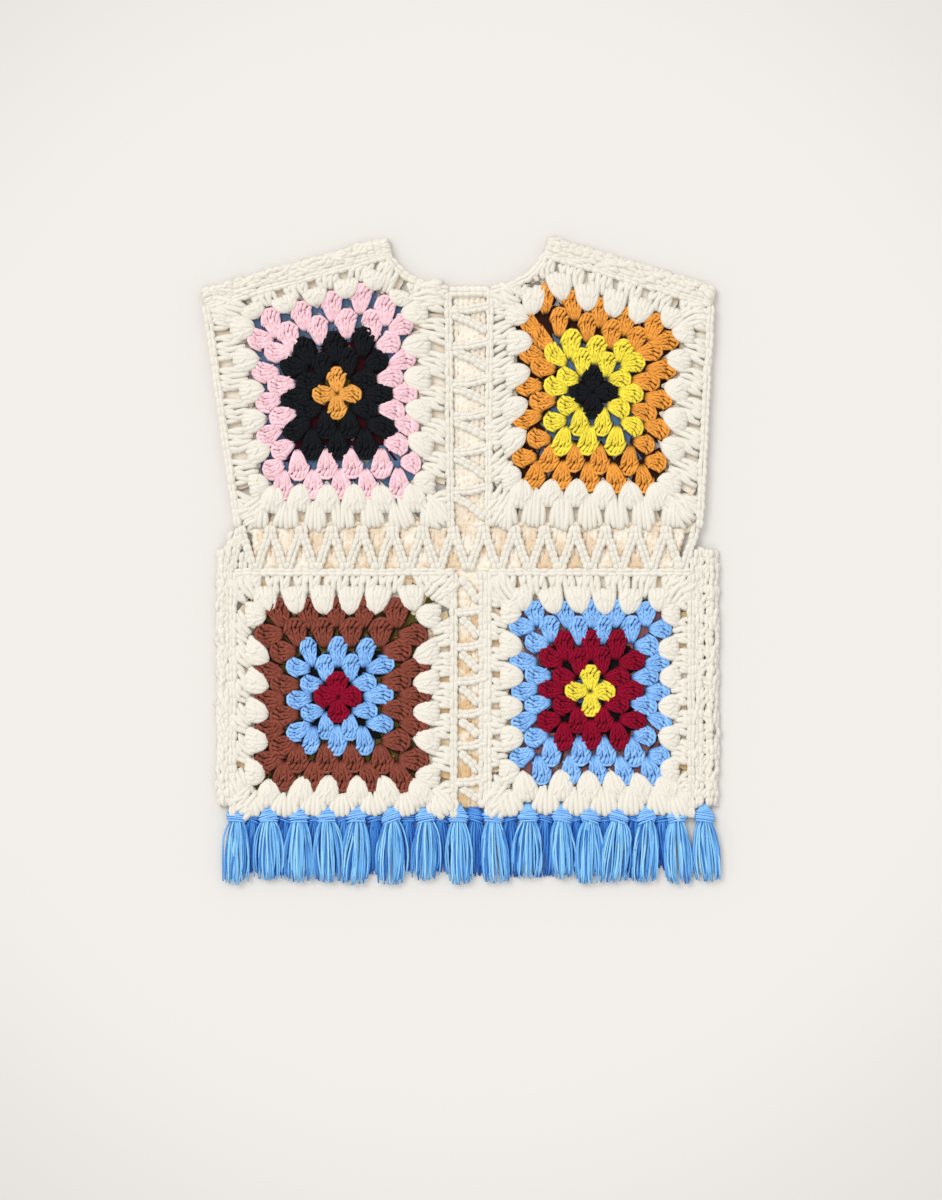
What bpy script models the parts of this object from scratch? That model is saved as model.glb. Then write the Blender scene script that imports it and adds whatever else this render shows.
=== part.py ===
"""Crochet top of granny squares, laid flat with its front layer on its back layer.

Frame: metres, +Z up, +Y towards the neck, +X to the right of someone who faces the front.
The back layer rests on z = 0. The origin is the middle of the whole outline at that height.
Sizes below are millimetres: x from the centre line, y up from the lowest edge of the hem.
"""
import math
import random

import bmesh
import bpy
from mathutils import Vector

MM = 0.001

# Layers
WALL = 4.0                      # one crocheted layer
LAYER_GAP = 0.3                 # between the back layer and the front layer
SEAM_GAP = 0.3                  # between two pieces of one layer
LAYER_BASE = {"back": 0.0, "front": WALL + LAYER_GAP}

# Granny squares
ROUNDS = 7                      # rounds of clusters in a square
CORE_HALF = (22.0, 23.5)        # half width and half height of round 1
GAP_ROUND = 5                   # the round whose gaps are cut through
GAP_REACH = (4.06, 4.62)        # inner and outer edge of those gaps, in rounds
GAP_HALF = (5.2, 2.8)           # half width of a gap at its inner and outer edge
EDGE_SCALLOP = 1.6              # how far a cluster bulges out of a free edge
BACK_ARMHOLE = 4.0              # how far the back shows past the front along the armholes

# Corners of the colour rings: tl is top left, br bottom right. Where a top side has a
# shoulder point, it turns there from the shoulder seam down into the neckline.
RING_COLUMNS = ("square", "round", "tl", "tr", "br", "bl", "shoulder")
RINGS = (
    ("upper_left", 3, (-189, 475), (-86, 482), (-75, 362), (-184, 361), (-105, 488)),
    ("upper_left", 5, (-221, 503), (-62, 518), (-49, 322), (-203, 319), (-104, 534)),
    ("upper_left", 7, (-265, 512), (-20, 528), (-18, 289), (-233, 289), (-79, 564)),
    ("upper_right", 3, (77, 477), (173, 472), (170, 363), (74, 365), (102, 487)),
    ("upper_right", 5, (53, 514), (210, 496), (190, 325), (41, 332), (74, 533)),
    ("upper_right", 7, (19, 528), (242, 514), (231, 289), (17, 289), (75, 565)),
    ("lower_left", 3, (-181, 179), (-79, 179), (-79, 65), (-181, 65), None),
    ("lower_left", 5, (-214, 222), (-43, 222), (-43, 29), (-214, 29), None),
    ("lower_left", 7, (-238, 247), (-15, 247), (-15, 0), (-238, 0), None),
    ("lower_right", 3, (71, 186), (173, 186), (173, 71), (71, 71), None),
    ("lower_right", 5, (42, 216), (199, 215), (198, 35), (42, 36), None),
    ("lower_right", 7, (17, 247), (222, 247), (222, 0), (17, 0), None),
)
CENTRES = {
    "upper_left": (-133, 424),
    "upper_right": (123, 426),
    "lower_left": (-132, 121),
    "lower_right": (120, 127),
}
NECK_SIDE = {"upper_left": "right", "upper_right": "left"}
NECK_PULL = (0.15, 0.19)        # how deep the neckline curve hangs, across and down
NECK_STEPS = 6                  # straight pieces in the neckline curve

# Chain-lace joins
CHAIN_HALF = 4.3                # half width of a chain
EDGE_CHAIN = 3.6                # width of the chain along a join's edge
LACE_TIP = 1.4                  # half width of a gap at its narrow end
WAIST_BAYS = {"front": 15, "back": 14}      # V-shaped bays across the waist
WAIST_FIRST = {                 # where the first chain meets the upper squares
    "front": -229.4,
    "back": -214.2,
}
WAIST_PITCH = 30.4
CENTRE_RUNGS = {                # heights of the rungs' middles in each centre join
    ("front", "upper"): (510, 474, 437, 403, 368, 329),
    ("front", "lower"): (208, 173, 139, 106, 74, 38),
    ("back", "upper"): (492, 456, 420, 386, 349, 316),
    ("back", "lower"): (221, 190, 156, 123, 90, 56),
}
RUNG_RISE = 5.0                 # how much higher a rung's right end is than its left
SLANT_START = 7.4               # upper edge of a slanting chain below the rung it leaves
SLANT_END = 12.0                # and above the rung it drops to
SLANT_UNDER = 16.5              # its lower edge at the join's left, below the rung it leaves
SIDE_BAYS = 8
SIDE_TOP = 268.0                # where the side joins end below the armholes
SIDE_FLANGE = {"left": 10.0, "right": 22.0}     # width of a side join on each layer
SHOULDER_BAYS = 5
SHOULDER_FLANGE = 12.0
FOLD_STEPS = 4                  # flats round a folded edge

# Hem and tassels
HEM_NOTCH_TOP = 12.0            # height of the notches that take the tassel heads
HEM_NOTCH_HALF = (7.3, 9.8)     # half width of a notch at its top and at the hem
HEAD_HALF = (7.0, 9.3, 8.6)     # half width of a head at its top, at the hem and at its neck
HEAD_NECK = -7.0                # height of the neck, where the locks leave the head
LOCKS = 7                       # locks of yarn in a tassel
LOCK_PART = 0.5                 # gap between two locks at the head
LOCK_BELLY = -24.0              # height where the locks have fanned out
LOCK_TIP = (-69.0, -58.0)       # lowest and highest tip
LOCK_FAN = (13.4, 14.6)         # half width of the fan at its belly and its tips
LOCK_TAPER = 0.22               # share of a lock's width lost on each side at its tip
LOCK_SLANT = (-1.5, 1.5)        # how much one corner of a tip is higher than the other
TASSEL_LIFT = 0.3               # the locks' clearance over what lies below
TASSEL_SEED = 5
FRONT_TASSELS = (-233, -201, -171, -143, -113, -78, -44, -12,
                 23, 58, 92, 120, 148, 177, 207, 234)
BACK_TASSELS = (-218, -185, -155, -127, -95, -62, -30, 5, 40, 75, 105, 135, 165, 193)

COLOURS = {
    "cream": (0.88, 0.85, 0.76),
    "pink": (0.90, 0.56, 0.60),
    "orange": (0.70, 0.27, 0.05),
    "brown": (0.18, 0.06, 0.04),
    "light_blue": (0.16, 0.39, 0.82),
    "crimson": (0.25, 0.01, 0.03),
    "yellow": (0.80, 0.68, 0.06),
    "mauve": (0.30, 0.12, 0.12),
    "tassel_blue": (0.11, 0.33, 0.78),
}
SQUARE_COLOUR = {
    ("front", "upper_left"): "pink",
    ("front", "upper_right"): "orange",
    ("front", "lower_left"): "brown",
    ("front", "lower_right"): "light_blue",
    ("back", "upper_left"): "light_blue",
    ("back", "upper_right"): "crimson",
    ("back", "lower_left"): "yellow",
    ("back", "lower_right"): "mauve",
}


def clear_scene():
    for item in list(bpy.data.objects):
        bpy.data.objects.remove(item, do_unlink=True)


def lerp(a, b, t):
    return tuple(p + (q - p) * t for p, q in zip(a, b))


# ---------------------------------------------------------------- rings of a square

def key_rings(square):
    """The rounds whose corners are known, from the centre out, with their corners."""
    cx, cy = CENTRES[square]
    hx, hy = CORE_HALF
    core = ((cx - hx, cy + hy), (cx + hx, cy + hy), (cx + hx, cy - hy), (cx - hx, cy - hy))
    rings = {0: ((cx, cy),) * 4 + ((cx, cy),), 1: core + ((cx, cy + hy),)}
    for name, number, *corners in RINGS:
        if name == square:
            rings[number] = tuple(corners)
    return rings


def ring(square, reach):
    """Corners and shoulder point of the line that lies `reach` rounds out from the centre."""
    rings = key_rings(square)
    keys = sorted(rings)
    for inner, outer in zip(keys, keys[1:]):
        if reach <= outer:
            break
    share = (reach - inner) / (outer - inner)
    has_shoulder = rings[outer][4] is not None
    corners = [lerp(rings[inner][k], rings[outer][k], share) for k in range(4)]
    shoulder = lerp(rings[inner][4], rings[outer][4], share) if has_shoulder else None
    return corners, shoulder


def neck_curve(square, shoulder, corner, t):
    """A point on the hollow curve from the shoulder point (t = 0) to the ring's corner."""
    across, down = NECK_PULL
    pull = (shoulder[0] + across * (corner[0] - shoulder[0]),
            corner[1] + down * (shoulder[1] - corner[1]))
    return lerp(lerp(shoulder, pull, t), lerp(pull, corner, t), t)


def ring_point(square, side, t, reach):
    """A point on a ring: side 0 is the top and the sides run clockwise, t goes along it."""
    corners, shoulder = ring(square, reach)
    start, end = corners[side], corners[(side + 1) % 4]
    if side or shoulder is None:
        return lerp(start, end, t)
    split = (shoulder[0] - start[0]) / (end[0] - start[0])
    if NECK_SIDE[square] == "right":
        if t <= split:
            return lerp(start, shoulder, t / split)
        return neck_curve(square, shoulder, end, (t - split) / (1 - split))
    if t >= split:
        return lerp(shoulder, end, (t - split) / (1 - split))
    return neck_curve(square, shoulder, start, 1 - t / split)


def side_length(square, side, reach):
    a = Vector(ring_point(square, side, 0, reach))
    b = Vector(ring_point(square, side, 1, reach))
    return (b - a).length


def square_gaps(square):
    """Four-cornered gaps between the clusters of one round, four on each side."""
    gaps = []
    for side in range(4):
        for number in range(1, GAP_ROUND):
            middle = number / GAP_ROUND
            gap = []
            for reach, half, signs in zip(GAP_REACH, GAP_HALF, ((-1, 1), (1, -1))):
                width = half / side_length(square, side, reach)
                gap += [ring_point(square, side, middle + sign * width, reach)
                        for sign in signs]
            gaps.append(gap)
    return gaps


def scalloped_edge(a, b):
    """A free edge from a to b, bulging to its left at each of the last round's clusters."""
    along = Vector(b) - Vector(a)
    out = Vector((-along.y, along.x)).normalized() * EDGE_SCALLOP
    points = []
    for number in range(ROUNDS):
        points.append(Vector(a) + along * (number / ROUNDS))
        for place in (0.25, 0.75):
            points.append(Vector(a) + along * ((number + place) / ROUNDS) + out)
    return [tuple(p) for p in points]


def hem_edge(right, left, tassels):
    """The hem from its right corner to its left one, with a notch for every tassel."""
    top_half, low_half = HEM_NOTCH_HALF
    points = []
    if not any(abs(right - x) < low_half for x in tassels):
        points.append((right, 0.0))
    for x in sorted(tassels, reverse=True):
        corners = ((x + low_half, 0.0), (x + top_half, HEM_NOTCH_TOP),
                   (x - top_half, HEM_NOTCH_TOP), (x - low_half, 0.0))
        inside = [p for p in corners if left < p[0] < right]
        if not inside:
            continue
        if x + top_half >= right:
            inside.insert(0, (right, HEM_NOTCH_TOP))
        if x - top_half <= left:
            inside.append((left, HEM_NOTCH_TOP))
        points += inside
    if not any(abs(left - x) < low_half for x in tassels):
        points.append((left, 0.0))
    return points


def square_outline(layer, square):
    corners, shoulder = ring(square, ROUNDS)
    tl, tr, br, bl = corners
    if shoulder is None:
        tassels = FRONT_TASSELS if layer == "front" else BACK_TASSELS
        return [tl, tr] + hem_edge(br[0], bl[0], tassels)
    spread = BACK_ARMHOLE if layer == "back" else 0.0
    steps = [step / NECK_STEPS for step in range(NECK_STEPS + 1)]
    if NECK_SIDE[square] == "right":
        neck = [neck_curve(square, shoulder, tr, t) for t in steps]
        bl = (bl[0] - spread, bl[1])
        return neck + [br] + scalloped_edge(bl, (tl[0] - spread, tl[1]))[:-1] + [tl]
    neck = [neck_curve(square, shoulder, tl, t) for t in reversed(steps)]
    br = (br[0] + spread, br[1])
    armhole = scalloped_edge((tr[0] + spread, tr[1]), br)[1:]
    return neck + [tr] + armhole + [br, bl]


# ---------------------------------------------------------------- chain-lace joins

def zigzag_gaps(count, first, pitch, low, high):
    """Gaps of a zigzag chain that runs along x between two edges, tip up and tip down."""
    top, bottom = high - EDGE_CHAIN, low + EDGE_CHAIN
    gaps = []
    for number in range(count):
        left = first + number * pitch
        wide = pitch / 2 - CHAIN_HALF
        valley = left + pitch / 2
        gaps.append([(valley - wide, top), (valley + wide, top),
                     (valley + LACE_TIP, bottom + CHAIN_HALF),
                     (valley - LACE_TIP, bottom + CHAIN_HALF)])
        if number:
            gaps.append([(left - wide, bottom), (left - LACE_TIP, top - CHAIN_HALF),
                         (left + LACE_TIP, top - CHAIN_HALF), (left + wide, bottom)])
    return gaps


def bay_gaps(upper, lower, left, right):
    """The two gaps between two rungs, above and below the slanting chain that parts them."""
    x_left, x_right = left(upper) + EDGE_CHAIN, right(upper) - EDGE_CHAIN
    rise = RUNG_RISE / 2
    return [
        [(x_right, upper + rise - CHAIN_HALF), (x_right, lower + SLANT_END),
         (x_left + 9.0, upper - SLANT_START), (x_left + 9.0, upper - SLANT_START + 2.2)],
        [(x_left, upper - SLANT_UNDER), (x_right - 7.0, lower + rise + CHAIN_HALF + 1.5),
         (x_right - 7.0, lower + rise + CHAIN_HALF), (x_left, lower - rise + CHAIN_HALF)],
    ]


def rung_gaps(rungs, low, high, slant_at_top, left, right):
    """Gaps of a join made of rungs, each with a slanting chain below it.

    `left` and `right` give the inner edge of the join at a height. Above the first rung
    there is either a slanting chain as well, or a single gap at the left.
    """
    rise = RUNG_RISE / 2
    gaps = []
    if slant_at_top:
        gaps += bay_gaps(high - rise, rungs[0], left, right)
    else:
        x_left, x_right = left(high) + EDGE_CHAIN, right(high) - 7.0 - EDGE_CHAIN
        gaps.append([(x_left, high - EDGE_CHAIN), (x_right, high - EDGE_CHAIN),
                     (x_right, rungs[0] + rise + CHAIN_HALF - 1.0),
                     (x_left, rungs[0] - rise + CHAIN_HALF)])
    for upper, lower in zip(rungs, (*rungs[1:], low + rise)):
        gaps += bay_gaps(upper, lower, left, right)
    return gaps


def mirrored(gaps):
    return [[(-x, y) for x, y in gap] for gap in gaps]


def flange_gaps(count, length, flange, fold):
    """Slanted gaps along both flanges of a folded join."""
    pitch = length / count
    gaps = []
    for number in range(count):
        low = number * pitch + CHAIN_HALF
        high = (number + 1) * pitch - CHAIN_HALF
        near, far = EDGE_CHAIN, flange - 1.0
        gaps.append([(near, low), (far, low + pitch * 0.28), (far, high), (near, high - 3.0)])
        back = 2 * flange + fold
        gaps.append([(back - far, low), (back - near, low + 3.0),
                     (back - near, high), (back - far, high - pitch * 0.28)])
    return gaps


# ---------------------------------------------------------------- solids

def flat_sheet(outline, holes):
    """A triangulated sheet in plan, one loop for its outline and one for each hole."""
    bm = bmesh.new()
    edges = []
    for loop in (outline, *holes):
        verts = [bm.verts.new((x, y, 0.0)) for x, y in loop]
        edges += [bm.edges.new(pair) for pair in zip(verts, verts[1:] + verts[:1])]
    bmesh.ops.triangle_fill(bm, edges=edges, use_beauty=True, use_dissolve=False)
    return bm


def thicken(bm, place):
    """Extrude a sheet to a wall; `place` puts (x, y, share of the wall) in space."""
    extruded = bmesh.ops.extrude_face_region(bm, geom=bm.faces[:])
    top = [v for v in extruded["geom"] if isinstance(v, bmesh.types.BMVert)]
    for vert in top:
        vert.co.z = 1.0
    for vert in bm.verts:
        vert.co = Vector(place(*vert.co)) * MM
    bmesh.ops.recalc_face_normals(bm, faces=bm.faces[:])
    if bm.calc_volume(signed=True) < 0:
        bmesh.ops.reverse_faces(bm, faces=bm.faces[:])


def flat_wall(outline, holes, layer):
    bm = flat_sheet(outline, holes)
    base = LAYER_BASE[layer]
    thicken(bm, lambda x, y, share: (x, y, base + share * WALL))
    return bm


def folded_wall(length, flange, holes, origin, along, outward):
    """A strip that lies on both layers and wraps round their edge.

    The strip's pattern has x across it, from the front's edge out, and y along it.
    """
    bend = (WALL + LAYER_GAP) / 2
    fold = math.pi * bend
    middle = WALL + LAYER_GAP / 2
    width = 2 * flange + fold
    bm = flat_sheet([(0, 0), (width, 0), (width, length), (0, length)], holes)
    for step in range(FOLD_STEPS + 1):
        cut = flange + fold * step / FOLD_STEPS
        everything = bm.verts[:] + bm.edges[:] + bm.faces[:]
        bmesh.ops.bisect_plane(bm, geom=everything, plane_co=(cut, 0, 0), plane_no=(1, 0, 0))

    def place(across, down, share):
        radius = bend + (share - 0.5) * WALL
        angle = min(max((across - flange) / bend, 0.0), math.pi)
        straight = min(across, flange) - max(across - flange - fold, 0.0)
        out = straight + radius * math.sin(angle)
        spot = Vector(origin) + Vector(along) * down + Vector(outward) * out
        return spot.x, spot.y, middle + radius * math.cos(angle)

    thicken(bm, place)
    return bm


def tassel_outline(rooms, rng):
    """Plan of a tassel about x = 0: the head, then down and up each lock in turn.

    `rooms` is how far it may spread to its left and to its right.
    """
    top, hem, neck = HEAD_HALF
    head = [(-hem, 0.0), (-top, HEM_NOTCH_TOP - SEAM_GAP),
            (top, HEM_NOTCH_TOP - SEAM_GAP), (hem, 0.0)]
    spreads = [(min(half, rooms[0]), min(half, rooms[1])) for half in (neck, *LOCK_FAN)]
    locks = []
    for number in range(LOCKS):
        edges = [1 - 2 * number / LOCKS, 1 - 2 * (number + 1) / LOCKS]
        (r0, r1), (b0, b1), (t0, t1) = (
            (edges[0] * spread[edges[0] > 0] - LOCK_PART / 2,
             edges[1] * spread[edges[1] > 0] + LOCK_PART / 2) for spread in spreads)
        low = rng.uniform(*LOCK_TIP)
        taper = (t0 - t1) * LOCK_TAPER
        sway = rng.uniform(-0.5, 0.5) * taper
        locks += [(r0, HEAD_NECK), (b0, LOCK_BELLY), (t0 - taper + sway, low),
                  (t1 + taper + sway, low + rng.uniform(*LOCK_SLANT)), (b1, LOCK_BELLY),
                  (r1, HEAD_NECK)]
    return head + locks


def tassel_wall(x, rooms, layer, rng):
    outline = [(x + px, py) for px, py in tassel_outline(rooms, rng)]
    base = LAYER_BASE[layer] + (TASSEL_LIFT if layer == "back" else 0.0)
    top = LAYER_BASE[layer] + WALL
    bm = flat_sheet(outline, ())
    thicken(bm, lambda px, py, share: (px, py, base + share * (top - base)))
    return bm


# ---------------------------------------------------------------- objects

def material(colour):
    name = "yarn_" + colour
    if name in bpy.data.materials:
        return bpy.data.materials[name]
    yarn = bpy.data.materials.new(name)
    yarn.use_nodes = True
    shader = yarn.node_tree.nodes["Principled BSDF"]
    shader.inputs["Base Color"].default_value = (*COLOURS[colour], 1.0)
    shader.inputs["Roughness"].default_value = 0.9
    shader.inputs["Metallic"].default_value = 0.0
    return yarn


def add_object(name, bm, colour):
    mesh = bpy.data.meshes.new(name)
    bm.to_mesh(mesh)
    bm.free()
    mesh.materials.append(material(colour))
    item = bpy.data.objects.new(name, mesh)
    bpy.context.scene.collection.objects.link(item)
    return item


def add_squares():
    for (layer, square), colour in SQUARE_COLOUR.items():
        wall = flat_wall(square_outline(layer, square), square_gaps(square), layer)
        add_object(f"{layer}_square_{square}", wall, colour)


def add_centre_joins():
    for half in ("upper", "lower"):
        left_square, _ = ring(half + "_left", ROUNDS)
        right_square, _ = ring(half + "_right", ROUNDS)
        top_left, low_left = left_square[1], left_square[2]
        top_right, low_right = right_square[0], right_square[3]
        high = min(top_left[1], top_right[1])
        low = low_left[1] + SEAM_GAP if half == "upper" else HEM_NOTCH_TOP
        if half == "lower":
            high -= SEAM_GAP

        def left(y, a=top_left, b=low_left):
            return a[0] + (b[0] - a[0]) * (y - a[1]) / (b[1] - a[1]) + SEAM_GAP

        def right(y, a=top_right, b=low_right):
            return a[0] + (b[0] - a[0]) * (y - a[1]) / (b[1] - a[1]) - SEAM_GAP

        outline = [(left(high), high), (right(high), high), (right(low), low), (left(low), low)]
        for layer in LAYER_BASE:
            rungs = CENTRE_RUNGS[layer, half]
            if layer == "front":
                holes = rung_gaps(rungs, low, high, half == "lower", left, right)
            else:
                holes = mirrored(rung_gaps(rungs, low, high, half == "lower",
                                           lambda y: -right(y), lambda y: -left(y)))
            add_object(f"{layer}_join_centre_{half}", flat_wall(outline, holes, layer), "cream")


def add_waist_joins():
    upper_left, _ = ring("upper_left", ROUNDS)
    upper_right, _ = ring("upper_right", ROUNDS)
    lower_left, _ = ring("lower_left", ROUNDS)
    lower_right, _ = ring("lower_right", ROUNDS)
    high = upper_left[3][1] - SEAM_GAP
    low = lower_left[0][1] + SEAM_GAP
    outline = [(upper_left[3][0], high), (upper_right[2][0], high),
               (lower_right[1][0], SIDE_TOP), (lower_right[1][0], low),
               (lower_left[0][0], low), (lower_left[0][0], SIDE_TOP)]
    for layer in LAYER_BASE:
        holes = zigzag_gaps(WAIST_BAYS[layer], WAIST_FIRST[layer], WAIST_PITCH, low, high)
        add_object(f"{layer}_join_waist", flat_wall(outline, holes, layer), "cream")


def add_side_joins():
    length = SIDE_TOP - HEM_NOTCH_TOP
    fold = math.pi * (WALL + LAYER_GAP) / 2
    for name, corner, sign in (("left", 0, -1), ("right", 1, 1)):
        flange = SIDE_FLANGE[name]
        corners, _ = ring("lower_" + name, ROUNDS)
        origin = (corners[corner][0] + sign * SEAM_GAP, HEM_NOTCH_TOP, 0)
        holes = flange_gaps(SIDE_BAYS, length, flange, fold)
        wall = folded_wall(length, flange, holes, origin, (0, 1, 0), (sign, 0, 0))
        add_object(f"join_side_{name}", wall, "cream")


def add_shoulder_joins():
    fold = math.pi * (WALL + LAYER_GAP) / 2
    for name, corner in (("left", 0), ("right", 1)):
        corners, shoulder = ring("upper_" + name, ROUNDS)
        armhole, tip = Vector((*corners[corner], 0)), Vector((*shoulder, 0))
        along = (tip - armhole).normalized()
        outward = Vector((-along.y, along.x, 0))
        if outward.y < 0:
            outward = -outward
        length = (tip - armhole).length
        holes = flange_gaps(SHOULDER_BAYS, length, SHOULDER_FLANGE, fold)
        origin = armhole + outward * SEAM_GAP
        wall = folded_wall(length, SHOULDER_FLANGE, holes, origin, along, outward)
        add_object(f"join_shoulder_{name}", wall, "cream")


def add_tassels():
    rng = random.Random(TASSEL_SEED)
    for layer, places in (("front", FRONT_TASSELS), ("back", BACK_TASSELS)):
        bounds = [-math.inf, *((a + b) / 2 for a, b in zip(places, places[1:])), math.inf]
        for number, x in enumerate(places, 1):
            rooms = (x - bounds[number - 1] - SEAM_GAP, bounds[number] - x - SEAM_GAP)
            wall = tassel_wall(x, rooms, layer, rng)
            add_object(f"{layer}_tassel_{number:02d}", wall, "tassel_blue")


def centre_outline():
    """Move every object so that the outline's middle lies over the origin."""
    corners = [v.co for item in bpy.data.objects for v in item.data.vertices]
    shift = Vector((-(min(c.x for c in corners) + max(c.x for c in corners)) / 2,
                    -(min(c.y for c in corners) + max(c.y for c in corners)) / 2, 0.0))
    for item in bpy.data.objects:
        item.location = shift


def main():
    clear_scene()
    add_squares()
    add_centre_joins()
    add_waist_joins()
    add_side_joins()
    add_shoulder_joins()
    add_tassels()
    centre_outline()


main()
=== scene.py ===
"""Crochet top of granny squares, laid flat: every yarn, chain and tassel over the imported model.

Sizes are millimetres in the garment's own plan until a mesh is made: x from the centre line,
y up from the hem, z up from the surface. `to_world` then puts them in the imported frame.
"""
import math

import bpy
import numpy as np
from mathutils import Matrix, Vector


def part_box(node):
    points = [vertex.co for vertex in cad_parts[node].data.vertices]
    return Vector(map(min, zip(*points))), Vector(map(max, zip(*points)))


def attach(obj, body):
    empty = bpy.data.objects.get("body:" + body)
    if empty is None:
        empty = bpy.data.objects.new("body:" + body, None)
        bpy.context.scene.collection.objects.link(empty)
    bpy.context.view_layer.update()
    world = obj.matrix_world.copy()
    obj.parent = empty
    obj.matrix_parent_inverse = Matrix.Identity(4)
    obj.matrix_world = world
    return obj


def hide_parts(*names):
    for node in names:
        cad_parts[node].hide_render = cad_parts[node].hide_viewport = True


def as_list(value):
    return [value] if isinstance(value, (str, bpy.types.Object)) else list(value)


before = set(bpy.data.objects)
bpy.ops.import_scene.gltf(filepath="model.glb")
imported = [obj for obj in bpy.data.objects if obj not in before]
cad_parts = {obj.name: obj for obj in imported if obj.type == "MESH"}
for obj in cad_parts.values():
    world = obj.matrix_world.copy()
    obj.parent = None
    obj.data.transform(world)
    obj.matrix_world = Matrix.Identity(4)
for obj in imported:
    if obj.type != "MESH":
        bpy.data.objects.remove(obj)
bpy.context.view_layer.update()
MM = 0.001
SEED = 11

# ---------------------------------------------------------------- the part's own measures

WALL = 4.0
LAYER_GAP = 0.3
SEAM_GAP = 0.3
LAYER_BASE = {"back": 0.0, "front": WALL + LAYER_GAP}
ROUNDS = 7
CORE_HALF = (22.0, 23.5)

# Corners of the colour rings: top left, top right, bottom right, bottom left and the shoulder
# point in a top side.
RINGS = (
    ("upper_left", 3, (-189, 475), (-86, 482), (-75, 362), (-184, 361), (-105, 488)),
    ("upper_left", 5, (-221, 503), (-62, 518), (-49, 322), (-203, 319), (-104, 534)),
    ("upper_left", 7, (-265, 512), (-20, 528), (-18, 289), (-233, 289), (-79, 564)),
    ("upper_right", 3, (77, 477), (173, 472), (170, 363), (74, 365), (102, 487)),
    ("upper_right", 5, (53, 514), (210, 496), (190, 325), (41, 332), (74, 533)),
    ("upper_right", 7, (19, 528), (242, 514), (231, 289), (17, 289), (75, 565)),
    ("lower_left", 3, (-181, 179), (-79, 179), (-79, 65), (-181, 65), None),
    ("lower_left", 5, (-214, 218), (-43, 218), (-43, 29), (-214, 29), None),
    ("lower_left", 7, (-238, 247), (-15, 247), (-15, 0), (-238, 0), None),
    ("lower_right", 3, (71, 186), (173, 186), (173, 71), (71, 71), None),
    ("lower_right", 5, (42, 216), (199, 215), (198, 35), (42, 36), None),
    ("lower_right", 7, (17, 247), (222, 247), (222, 0), (17, 0), None),
)
CENTRES = {
    "upper_left": (-133, 424),
    "upper_right": (123, 426),
    "lower_left": (-132, 121),
    "lower_right": (120, 127),
}
SQUARES = tuple(CENTRES)
NECK_SIDE = {"upper_left": "right", "upper_right": "left"}
NECK_PULL = (0.15, 0.19)

WAIST_BAYS = {"front": 15, "back": 14}
WAIST_FIRST = {"front": -229.4, "back": -214.2}
WAIST_PITCH = 30.4
CENTRE_RUNGS = {
    ("front", "upper"): (510, 474, 437, 403, 368, 329),
    ("front", "lower"): (208, 173, 139, 106, 74, 38),
    ("back", "upper"): (492, 456, 420, 386, 349, 316),
    ("back", "lower"): (221, 190, 156, 123, 90, 56),
}
RUNG_RISE = 5.0
SIDE_BAYS = 8
SIDE_TOP = 268.0
SIDE_FLANGE = {"left": 10.0, "right": 22.0}
SHOULDER_BAYS = 5
SHOULDER_FLANGE = 12.0
HEM_NOTCH_TOP = 12.0

FRONT_TASSELS = (-233, -201, -171, -143, -113, -78, -44, -12,
                 23, 58, 92, 120, 148, 177, 207, 234)
BACK_TASSELS = (-218, -185, -155, -127, -95, -62, -30, 5, 40, 75, 105, 135, 165, 193)
TASSEL_TIP = {"front": (-69.0, -61.0), "back": (-62.0, -52.0)}

# Yarn colour of rounds 1, 2 and 3, 4 and 5, 6 and 7
SQUARE_YARN = {
    ("front", "upper_left"): ("mustard", "black", "pink", "cream"),
    ("front", "upper_right"): ("black", "yellow", "orange", "cream"),
    ("front", "lower_left"): ("crimson", "light_blue", "brown", "cream"),
    ("front", "lower_right"): ("yellow", "crimson", "light_blue", "cream"),
    ("back", "upper_left"): ("yellow", "crimson", "light_blue", "cream_back"),
    ("back", "upper_right"): ("crimson", "light_blue", "brown", "cream_back"),
    ("back", "lower_left"): ("crimson", "black", "yellow", "cream_back"),
    ("back", "lower_right"): ("light_blue", "black", "mauve", "cream_back"),
}
YARN_SLOT = {"mustard": "orange", "cream_back": "cream", "knot_blue": "tassel_blue"}
ROUND_GROUP = (0, 0, 1, 1, 2, 2, 3, 3)      # by round number; the first entry isn't used


# ---------------------------------------------------------------- rings of a square

def lerp(a, b, t):
    return tuple(p + (q - p) * t for p, q in zip(a, b))


def unit(vectors):
    """Rows of vectors at length 1, or near nothing where a row has no length."""
    return vectors / (np.linalg.norm(vectors, axis=-1, keepdims=True) + 1e-9)


def distances(points):
    """How far along its path each point lies, for one path or many."""
    steps = np.linalg.norm(np.diff(points, axis=-2), axis=-1)
    return np.concatenate([np.zeros((*steps.shape[:-1], 1)), np.cumsum(steps, axis=-1)], axis=-1)


def on_path(path, at, where):
    """Points of a path at distances along it."""
    return np.stack([np.interp(where, at, path[:, k]) for k in (0, 1)], axis=1)


def turned(vectors):
    """Rows of (x, y) turned a quarter to the right."""
    return np.stack([vectors[..., 1], -vectors[..., 0]], axis=-1)


def key_rings(square):
    cx, cy = CENTRES[square]
    hx, hy = CORE_HALF
    core = ((cx - hx, cy + hy), (cx + hx, cy + hy), (cx + hx, cy - hy), (cx - hx, cy - hy))
    shoulders = ((cx, cy), (cx, cy + hy)) if square in NECK_SIDE else (None, None)
    rings = {0: ((cx, cy),) * 4 + (shoulders[0],), 1: core + (shoulders[1],)}
    for name, number, *corners in RINGS:
        if name == square:
            rings[number] = tuple(corners)
    return rings


KEY_RINGS = {square: key_rings(square) for square in SQUARES}


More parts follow.
